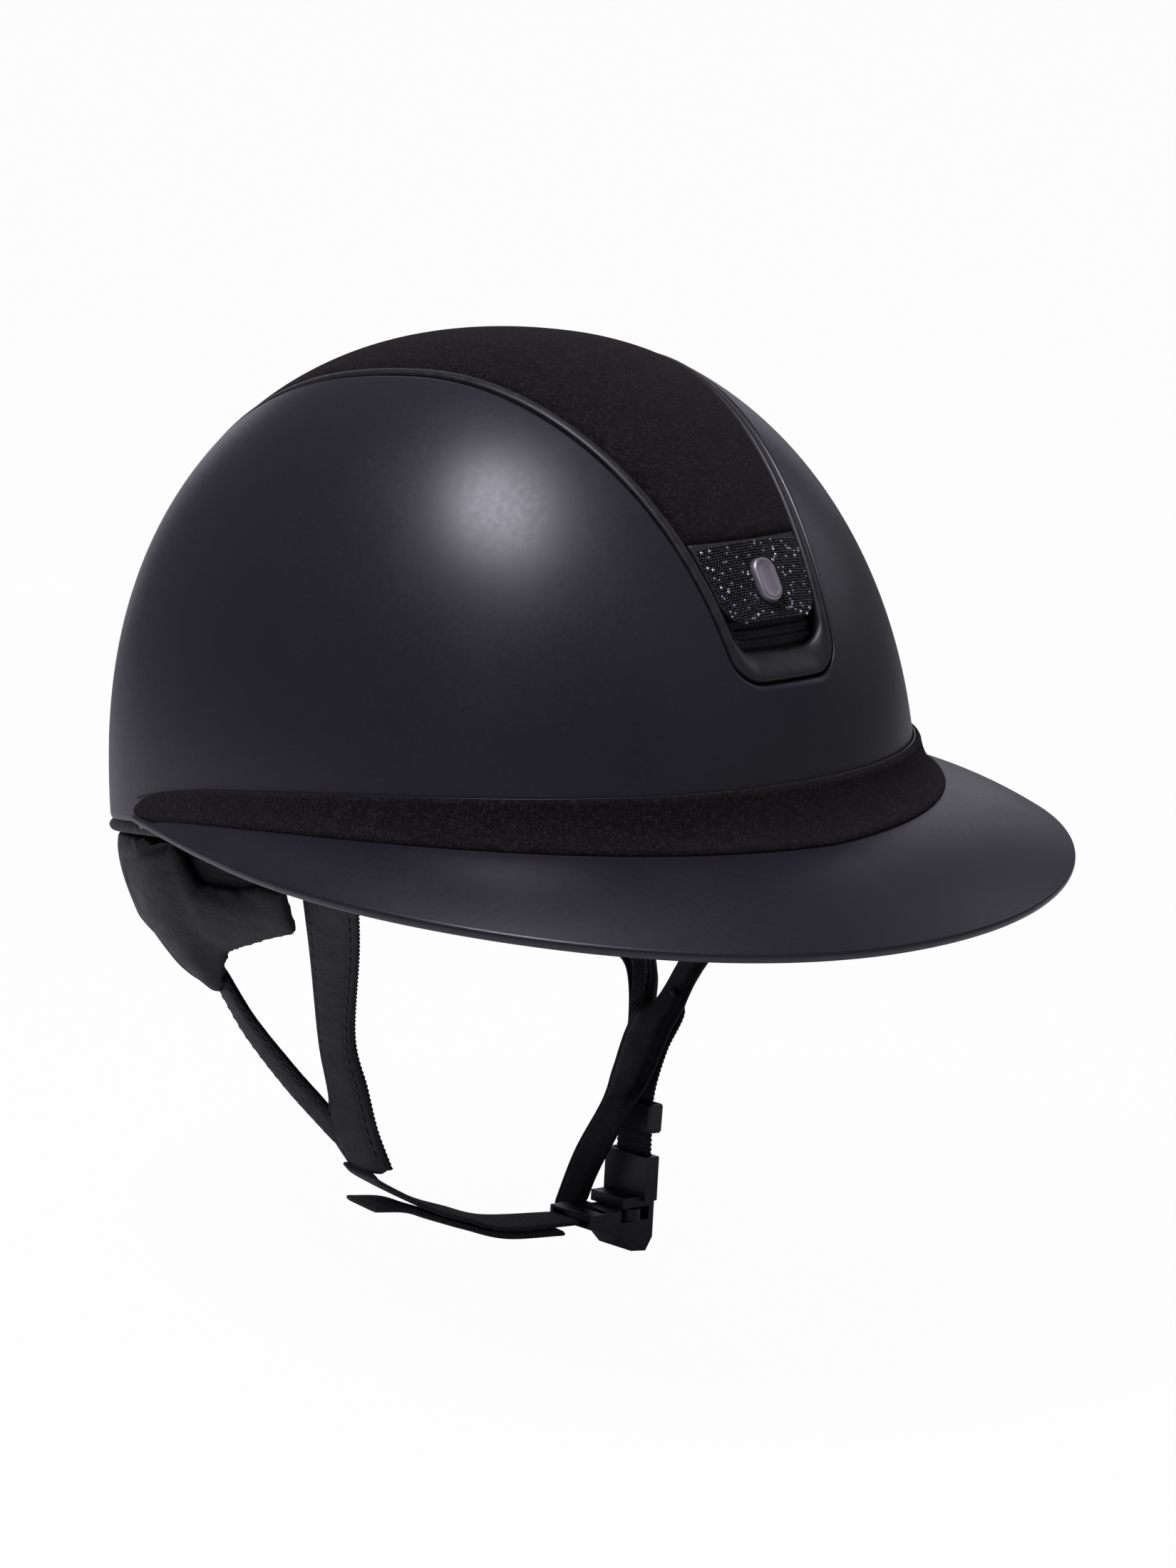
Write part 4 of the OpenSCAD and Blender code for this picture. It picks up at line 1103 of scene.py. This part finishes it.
def crown_pad():
    obj = dome_piece("crown_cushion", LINER, lambda u: 50 + 0 * u, PAD_INSET, PAD_INSET + PAD_T, 72, 14)
    puff_up(obj, 0.003, 0.0012)

    def seams(p):
        turn = np.arctan2(p[:, 0], -(p[:, 1]))
        radius = np.hypot(p[:, 0], p[:, 1])
        spoke = np.abs(np.sin(turn * 3)) * radius / 3
        return groove(spoke, 1.6, 1.3) * (radius > 12) + groove(radius - 12, 1.5, 1.2)
    sew(obj, seams)
    return place(obj, "helmet", "liner_fabric", "crown_pad")


def headband_pad():
    u = ring_angles(150)[:, None]
    turn = np.linspace(0, 360, 28, endpoint=False)[None]
    height = (1 - spow(cosd(turn), 0.75)) / 2
    depth = PAD_INSET + PAD_T / 2 + PAD_T / 2 * spow(sind(turn), 0.75)
    piece = Piece("headband_cushion", LINER)
    piece.loft(shell_at(u, mix(headband_low(u), 42, height), depth), closed=True)
    obj = piece.build()
    puff_up(obj, 0.0028, 0.0012)

    def seams(p):
        around = np.degrees(np.arctan2(p[:, 0] / HALF_W, -p[:, 1] / FRONT))
        gap = np.abs((around + 22.5) % 45 - 22.5)
        return groove(gap * 1.6, 1.5, 1.5)
    sew(obj, seams)
    return place(obj, "helmet", "liner_fabric", "headband_pad")


# ---------------------------------------------------------------- nape cover

NAPE_LOW_Z = -47
TONGUE_Z = -57
TONGUE_ANGLE = 112
NAPE_T = 5
WING_END = 88.5
NAPE_REACH = 1.1
WING_ANGLE = 118
NOTCH_ANGLE = 109
BACK_ANGLE = 142
# Plan angle and share of the height, along the seam from the notch down to the tongue's tip.
NAPE_SEAM = points([110, 0.04], [117, 0.1], [124, 0.22], [127, 0.4], [122, 0.7], [115, 0.96])


def wing(u):
    return ease((WING_ANGLE - np.abs(u)) / 26)


def nape_high(u):
    """Upper edge: along the rim round the back, dropping at the wings, where lining shows."""
    top = mix(-17, -20.5, ease((np.abs(u) - 91) / 10))
    return mix(rim_z(u) - 2 * PIPING_R - 0.8, top, ease((NOTCH_ANGLE - np.abs(u)) / 5))


def nape_low(u):
    """Lower edge: level at the back, lower at the tongues above the rear straps, high at the wings."""
    past = np.maximum(0, TONGUE_ANGLE - np.abs(u))
    return mix(NAPE_LOW_Z, TONGUE_Z, ease((BACK_ANGLE - np.abs(u)) / 28)) + 10 * ease(past / 7) + 0.8 * past


def nape_mid(u, s, deeper=0.0):
    tuck = mix(mix(1, 10, ease((145 - np.abs(u)) / 20)), 3, wing(u)) * s * s
    z = mix(nape_high(u) + NAPE_REACH, nape_low(u) - NAPE_REACH, s)
    return shell_at(u, z, mix(1, 11.5, wing(u)) + tuck + NAPE_T / 2 + deeper)


def nape_cover():
    """Padded leatherette cover of the nape with side wings and a seam along its middle."""
    u = rear_angles(WING_END, 360 - WING_END, 200)[:, None]
    turn = np.linspace(0, 360, 30, endpoint=False)[None]
    s = (1 - cosd(turn)) / 2
    half = NAPE_T * (0.3 + 0.7 * np.abs(sind(turn)) ** 0.6) / 2 * np.sign(sind(turn + 1e-6))
    past_end = np.clip((181 - WING_END - np.abs(np.linspace(WING_END, 360 - WING_END, 200) - 180)) / 4, 0, 1)
    end = np.sqrt(np.clip(1 - (1 - past_end) ** 2, 0.02, 1))
    rings = nape_mid(u, s, -half * end[:, None])
    piece = Piece("nape_form", LEATHER)
    piece.loft(rings)
    obj = piece.build()
    puff_up(obj, 0.0015, 0.0008)
    half_seam = curve(NAPE_SEAM, 60)
    seam_u = np.concatenate([half_seam[:, 0], -half_seam[:, 0]])
    seam = nape_mid(seam_u, np.concatenate([half_seam[:, 1], half_seam[:, 1]]))

    def seams(p):
        gap = np.full(len(p), 99.0)
        for q in seam:
            gap = np.minimum(gap, np.linalg.norm(p - q, axis=1))
        return groove(np.maximum(0, gap - 2.3), 1.2, 1.3)
    sew(obj, seams)
    return place(obj, "helmet", "leatherette", "nape_cover")


def nape_piping():
    u = rear_angles(146, 214, 180)
    piece = Piece("nape_edging", LEATHER)
    piece.loft(tube(shell_at(u, nape_low(u) - 1.6, 4.5), 1.1, sides=12, gathers=0.1, flange=0.2))
    return place(piece.build(), "helmet", "leatherette", "nape_piping")


def wing_lining():
    """Ribbed mesh lining that closes the gap between the nape cover's wings and the foam."""
    for side, name in ((1, "lining_left"), (-1, "lining_right")):
        u = np.linspace(91, 136, 60)[:, None] * side
        s = np.linspace(0, 1, 36)[None]
        z = mix(-27 + 0 * u, rim_z(u) + 6, s)
        rib = 0.3 * np.abs(sind(180 * z / 2.2))
        behind_cover = mix(6.5, 15.4, wing(u))
        top = shell_at(u, z, behind_cover - rib)
        under = shell_at(u, z, behind_cover + 1)
        piece = Piece(name, MESH)
        piece.loft(np.concatenate([top, under[:, ::-1]], 1))
        place(piece.build(), "helmet", "mesh")


# ---------------------------------------------------------------- straps

def strap_grid(front, rear, n):
    """Matching edge curves of a strap and the direction across its face, +X for one that hangs down."""
    a, b = curve(front, n), curve(rear, n)
    along = unit(np.gradient((a + b) / 2, axis=0))
    return a, b, unit(np.cross(along, b - a))


def end_taper(n, length, distance, low=0.15):
    """Share of full thickness along a strap whose ends are rounded off over this distance."""
    s = np.linspace(0, length, n + 1)
    q = np.clip(np.minimum(s, length - s) / distance, 0, 1)
    return np.maximum(low, np.sqrt(1 - (1 - q) ** 2))


def strap_rings(front, rear, n, thickness, lift=0.0, sides=32, edge_power=0.5, ends=3.0):
    """Closed sections of a strap. thickness(s, i) is its thickness across (-1 front, 1 rear) and along."""
    a, b, normal = strap_grid(front, rear, n)
    length = np.linalg.norm(np.diff((a + b) / 2, axis=0), axis=1).sum()
    taper = end_taper(n, length, ends)[:, None]
    turn = (np.arange(sides) + 0.5) * 360 / sides
    s = -cosd(turn)[None] * (0.5 + 0.5 * taper)
    side = np.sign(sind(turn))[None]
    share = np.maximum(0.0, 1 - np.abs(cosd(turn)) ** 5)[None] ** edge_power
    along = np.linspace(0, length, n + 1)[:, None]
    half = thickness(s, along) / 2 * share * taper
    middle = mix(a[:, None], b[:, None], ((s + 1) / 2)[..., None])
    return middle + normal[:, None] * (lift + side * half)[..., None]


def strap_line(front, rear, n, s, height):
    """A line along a strap at one place across it, and the normals there, for stitching."""
    a, b, normal = strap_grid(front, rear, n)
    return mix(a, b, (s + 1) / 2) + normal * height, normal * np.sign(height)


def sleeve_thickness(t, seam=0.74):
    """Padded sleeve with a sewn line near both edges, so that its edges stand up as rolls."""
    def at(s, along):
        pillow = 1 - 0.1 * (s / seam) ** 2
        line = 0.42 * np.exp(-((np.abs(s) - seam) / 0.055) ** 2)
        ripple = 0.02 * np.sin(along * 0.9) * np.sin(along * 0.31 + s * 2)
        return t * (pillow - line + ripple)
    return at


def webbing_thickness(t, pitch=1.5):
    def at(s, along):
        return t * (0.93 + 0.07 * np.sin(along * 2 * np.pi / pitch + 0 * s))
    return at


RIGHT_FRONT_EDGE = points([-90.5, -33, -15], [-84, -25, -33], [-76, -12, -62], [-71, -11.5, -78],
                          [-67.5, -12.6, -92], [-64, -14, -104])
RIGHT_BACK_EDGE = points([-90, -7, -15], [-84, -3, -37], [-76, 3.4, -65], [-71, 5.3, -83],
                         [-68.5, 9.5, -93], [-64, 2, -106.5])
RIGHT_REAR_FRONT_EDGE = points([-78.9, 44.1, -51], [-79, 30.5, -62.5], [-74, 17, -76.5], [-71.5, 8, -84])
RIGHT_REAR_BACK_EDGE = points([-74.9, 51.6, -58.5], [-75, 39, -70], [-72, 24.5, -83.5], [-69, 12.8, -93])
# The rear sleeves run on into the front ones, where they are sewn down.
RIGHT_SEWN_END = points([-68.2, 2, -91.5], [-66.3, 5.5, -99.5])
LEFT_SEWN_END = points([57.2, 4, -80], [51.6, 11.5, -89.5])
# Their upper ends go up inside the nape cover.
RIGHT_TUCKED_END = points([-80.5, 48.5, -45.5], [-78, 55.5, -53])
LEFT_TUCKED_END = points([78, 47, -47], [76, 61, -53])
LEFT_FRONT_EDGE = points([90.5, -33, -15], [82, -25, -33], [64, -12, -62], [55.5, -11, -75],
                         [51, -10.5, -81], [42.5, -11, -94], [35.5, -9.3, -104], [33.2, 2.4, -125],
                         [32.2, 7.6, -137])
LEFT_BACK_EDGE = points([90, -7, -15], [83, -3, -37], [70, 5, -64], [63, 8.5, -76.5], [57, 14, -83],
                        [47, 11, -96], [38, 6, -104], [31.2, 11.5, -120], [27.8, 18, -139])
LEFT_REAR_FRONT_EDGE = points([73.5, 44, -53], [77.5, 28, -64.5], [72.5, 18.5, -71], [64.5, 10.5, -76])
LEFT_REAR_BACK_EDGE = points([71, 59, -60], [74, 43.5, -67.5], [68.5, 29, -71], [58.5, 16.5, -83])
SLEEVE_T = 3.4
WEB_T = 1.8
WEB_W = 15
CHIN_Y = -3


def sleeve(name, front, rear, n, outside, seams=(-0.74, 0.74)):
    """Sleeve of a strap with rows of stitching on its outer face."""
    piece = Piece(name, LEATHER, THREAD)
    piece.loft(strap_rings(front, rear, n, sleeve_thickness(SLEEVE_T)))
    for s in seams:
        path, normal = strap_line(front, rear, 90, s, outside * SLEEVE_T * 0.5 * 0.66)
        piece.stitches(path[4:-4], normal[4:-4])
    return piece.build()


def sleeves():
    right = sleeve("sleeve_right_front", RIGHT_FRONT_EDGE, RIGHT_BACK_EDGE, 110, -1)
    place(right, "harness", "leatherette", "right_front_sleeve")
    left = sleeve("sleeve_left_front", LEFT_FRONT_EDGE, LEFT_BACK_EDGE, 160, 1)
    place(left, "harness", "leatherette", "left_front_sleeve")
    edges = (RIGHT_REAR_FRONT_EDGE, RIGHT_REAR_BACK_EDGE)
    longer = [np.vstack(ends) for ends in zip(RIGHT_TUCKED_END, edges, RIGHT_SEWN_END)]
    slack(sleeve("sleeve_right_rear", *longer, 110, -1), *edges, "leatherette", "right_rear_sleeve")
    edges = (LEFT_REAR_FRONT_EDGE, LEFT_REAR_BACK_EDGE)
    longer = [np.vstack(ends) for ends in zip(LEFT_TUCKED_END, edges, LEFT_SEWN_END)]
    slack(sleeve("sleeve_left_rear", *longer, 90, 1), *edges, "leatherette", "left_rear_sleeve")


def slack(obj, front, rear, slot, *nodes):
    """Hides a rear strap's CAD nodes and bakes its placement into its mesh."""
    if nodes:
        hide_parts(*nodes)
    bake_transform(obj)


def behind(front, rear, share):
    """Edges of the webbing behind a sleeve, on its middle line."""
    middle, half = (front + rear) / 2, (rear - front) / 2 * share
    return middle - half, middle + half


def web_piece(name, front, rear, lift=0.0):
    front, rear = np.asarray(front, float), np.asarray(rear, float)
    length = np.linalg.norm(np.diff(curve(front, 60), axis=0), axis=1).sum()
    n = int(length / 0.32)
    piece = Piece(name, WEBBING)
    a, b = serrated(front, rear, n)
    piece.loft(strap_rings_from(a, b, webbing_thickness(WEB_T), lift))
    return piece


def serrated(front, rear, n, pitch=1.5, depth=0.28):
    """Edge curves with the small teeth of the weave."""
    a, b = curve(front, n), curve(rear, n)
    across = unit(b - a)
    along = np.linspace(0, np.linalg.norm(np.diff((a + b) / 2, axis=0), axis=1).sum(), n + 1)
    tooth = (np.sin(along * 2 * np.pi / pitch) * depth)[:, None]
    return a + across * tooth, b - across * tooth


def strap_rings_from(a, b, thickness, lift=0.0, sides=16):
    """Sections of a strap whose edge curves are already finely divided."""
    n = len(a) - 1
    along = unit(np.gradient((a + b) / 2, axis=0))
    reach = 12
    blur = np.ones(2 * reach + 1) / (2 * reach + 1)
    columns = np.pad(b - a, ((reach, reach), (0, 0)), mode="edge").T
    across = np.stack([np.convolve(column, blur, "valid") for column in columns], -1)
    normal = unit(np.cross(along, across))
    turn = (np.arange(sides) + 0.5) * 360 / sides
    s = -cosd(turn)[None] + np.zeros((n + 1, 1))
    share = np.maximum(0.0, 1 - np.abs(cosd(turn)) ** 10)[None] ** 0.5
    length = np.linalg.norm(np.diff((a + b) / 2, axis=0), axis=1).sum()
    half = thickness(s, np.linspace(0, length, n + 1)[:, None]) / 2 * share
    middle = mix(a[:, None], b[:, None], ((s + 1) / 2)[..., None])
    return middle + normal[:, None] * (lift + np.sign(sind(turn))[None] * half)[..., None]


def level_edges(line):
    """Edges of a webbing that runs sideways under the chin, its front edge hanging a little lower."""
    line = np.asarray(line, float)
    lean = -0.7 * ease((18 - line[:, 0]) / 20)[:, None] * [0, 0, 1]
    return line + [0, CHIN_Y - WEB_W / 2, 0] + lean, line + [0, CHIN_Y + WEB_W / 2, 0] - lean


def webbings():
    inwards = (SLEEVE_T + WEB_T) / 2 + 0.3
    front, rear = behind(RIGHT_FRONT_EDGE, RIGHT_BACK_EDGE, 0.75)
    place(web_piece("webbing_right", front, rear, inwards).build(), "harness", "webbing", "right_webbing")
    front, rear = behind(RIGHT_REAR_FRONT_EDGE, RIGHT_REAR_BACK_EDGE, 0.36)
    obj = web_piece("webbing_right_rear", front, rear, inwards * 0.45).build()
    slack(obj, front, rear, "webbing", "rear_webbing")
    front, rear = behind(LEFT_REAR_FRONT_EDGE, LEFT_REAR_BACK_EDGE, 0.45)
    obj = web_piece("webbing_left_rear", front, rear, -inwards).build()
    slack(obj, front, rear, "webbing", "rear_webbing")
    adjuster = sum(box_mm("strap_adjuster")) / 2
    socket_top = box_mm("buckle_socket")[1][2]
    foot = np.array([sum(box_mm("socket_webbing"))[0] / 2 - 0.4, 0, socket_top - 10.5])
    half = WEB_W / 2
    slider = [adjuster[0], adjuster[2]]
    front = points([56.5, -5.5, -70], [60.3, -7, -77], [51.4, -9, -87], [45, CHIN_Y - half, -98],
                   [slider[0], CHIN_Y - half, slider[1]], [foot[0], CHIN_Y - half, foot[2]])
    rear = points([64.5, 4.5, -70], [66.6, 8, -77], [55.9, 6, -87], [47.3, CHIN_Y + half, -98],
                  [slider[0], CHIN_Y + half, slider[1]], [foot[0], CHIN_Y + half, foot[2]])
    obj = web_piece("webbing_left", front, rear).build()
    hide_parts("left_webbing", "socket_webbing")
    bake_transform(obj)


def chin_straps():
    chin = points([-66.5, 0, -104.5], [-62.3, 0, -108.2], [-44, 0, -119], [-30, 0, -125],
                  [-14, 0, -131], [14, 0, -135.2])
    tail = points([-65.5, 0, -115], [-54, 0, -117.4], [-45.1, 0, -121.2], [-30.9, 0, -127.2],
                  [-14.6, 0, -133.3], [8, 0, -137.1])
    place(web_piece("chin_webbing", *level_edges(chin)).build(), "harness", "webbing", "chin_strap")
    place(web_piece("tail_webbing", *level_edges(tail)).build(), "tail", "webbing", "strap_tail")


# ---------------------------------------------------------------- carried-over CAD nodes

def dress_node(name, material, bevel=0.0, segments=3):
    """Gives a CAD node its material and rounds its edges with a modifier."""
    obj = frame["nodes"][name]
    obj.data.materials.clear()
    obj.data.materials.append(material)
    if bevel:
        weld = obj.modifiers.new("Weld", "WELD")
        weld.merge_threshold = 0.005 * MM
        modifier = obj.modifiers.new("Bevel", "BEVEL")
        modifier.width = bevel * MM
        modifier.segments = segments
        modifier.limit_method = "ANGLE"
        modifier.angle_limit = math.radians(35)
        modifier.harden_normals = True
    return obj


def dress_nodes():
    for name in ("buckle_plug", "plug_arm_front", "plug_arm_rear"):
        dress_node(name, BUCKLE_PLASTIC, 0.5)
    dress_node("strap_adjuster", BUCKLE_PLASTIC, 0.9, 4)
    dress_node("buckle_socket", BUCKLE_PLASTIC, 1.1, 4)
    dress_node("rear_vent_grille", FRAME_PLASTIC, 0.2)
    dress_node("top_panel_plate", HIDDEN_PLASTIC)
    dress_node("liner_tabs", HOOKS)
    for name in ("front_anchors", "rear_anchors", "front_eyelets"):
        dress_node(name, STEEL, 0.2)


# ---------------------------------------------------------------- stage

CAMERA_AZIMUTH = -40.956
CAMERA_ELEVATION = 11.634
CAMERA_DISTANCE = 1.5
LENS = 114.8
LIGHT_TINT = (0.97, 0.95, 1.07)


def view_axes():
    a, e = math.radians(CAMERA_AZIMUTH), math.radians(CAMERA_ELEVATION)
    back = Vector((math.sin(a) * math.cos(e), -math.cos(a) * math.cos(e), math.sin(e)))
    right = Vector((math.cos(a), math.sin(a), 0))
    return back, right, back.cross(right)


def camera():
    back, right, up = view_axes()
    target = right * 0.01985 + up * 0.00217
    data = bpy.data.cameras.new("camera")
    data.lens = LENS
    data.sensor_width = 36
    obj = bpy.data.objects.new("camera", data)
    bpy.context.scene.collection.objects.link(obj)
    obj.location = back * CAMERA_DISTANCE
    obj.rotation_mode = "QUATERNION"
    obj.rotation_quaternion = (target - obj.location).to_track_quat("-Z", "Y")
    bpy.context.scene.camera = obj


def soft_light(name, azimuth, elevation, distance, size, power, aim=(0, 0, 0.03), height=None):
    a, e = math.radians(azimuth), math.radians(elevation)
    way = Vector((math.sin(a) * math.cos(e), -math.cos(a) * math.cos(e), math.sin(e)))
    data = bpy.data.lights.new(name, "AREA")
    data.shape = "RECTANGLE"
    data.size = size
    data.size_y = height or size
    data.energy = power
    data.color = LIGHT_TINT
    obj = bpy.data.objects.new(name, data)
    bpy.context.scene.collection.objects.link(obj)
    obj.location = Vector(aim) + way * distance
    obj.rotation_mode = "QUATERNION"
    obj.rotation_quaternion = way.to_track_quat("Z", "Y")


def world(seen, lit):
    """White to the camera and a dimmer, slightly cool surround to the object."""
    scene_world = bpy.data.worlds.new("studio")
    scene_world.use_nodes = True
    tree = scene_world.node_tree
    background = tree.nodes["Background"]
    background.inputs["Color"].default_value = (*LIGHT_TINT, 1)
    path = tree.nodes.new("ShaderNodeLightPath")
    strength = tree.nodes.new("ShaderNodeMapRange")
    strength.inputs["To Min"].default_value = lit
    strength.inputs["To Max"].default_value = seen
    tree.links.new(path.outputs["Is Camera Ray"], strength.inputs["Value"])
    tree.links.new(strength.outputs[0], background.inputs["Strength"])
    bpy.context.scene.world = scene_world


def floor():
    """Pale floor that reads near white to the camera and still takes a faint shadow."""
    material = Nodes("pale_floor")
    tone = material.colours(material.noise(0.02, 3), (0.90, 0.90, 0.91), (0.94, 0.94, 0.945))
    material.finish(Base_Color=tone, Roughness=0.7, Normal=material.bump(material.noise(0.4, 3), 0.1, 0.2))
    glow = material.add("ShaderNodeEmission", {"Color": (1.0, 1.0, 1.0), "Strength": 1.0})
    seen = material.math("MULTIPLY", material.add("ShaderNodeLightPath").outputs["Is Camera Ray"], 0.97)
    blend = material.add("ShaderNodeMixShader", {0: seen})
    material.put(blend.inputs[1], material.shader.outputs[0])
    material.put(blend.inputs[2], glow.outputs[0])
    material.put(material.tree.nodes["Material Output"].inputs["Surface"], blend.outputs[0])
    bpy.ops.mesh.primitive_plane_add(size=30, location=(0, 0, first_bounds[0].z - 0.002))
    plane = bpy.context.object
    plane.name = "floor"
    plane.data.materials.append(material.material)


def stage():
    floor()
    camera()
    world(1.0, 0.12)
    soft_light("key", -76, 65, 1.3, 0.45, 12.4)
    soft_light("fill", 10, 30, 1.8, 1.4, 0.8)
    soft_light("rim_left", 154, 4, 1.4, 0.5, 0.5)
    soft_light("rim_right", 78, 30, 1.4, 0.7, 1.1)
    soft_light("top", 20, 80, 1.6, 1.2, 0.8)
    soft_light("back", 132, 22, 1.7, 1.1, 1.8)
    scene = bpy.context.scene
    scene.view_settings.view_transform = "Standard"
    scene.view_settings.look = "None"


outer_shell()
channel_frame()
top_panel()
insert_plate()
beads_and_stones()
badge()
front_mesh()
brim()
brim_band()
rim_piping()
foam_liner()
crown_pad()
headband_pad()
nape_cover()
nape_piping()
wing_lining()
sleeves()
webbings()
chin_straps()
dress_nodes()
stage()
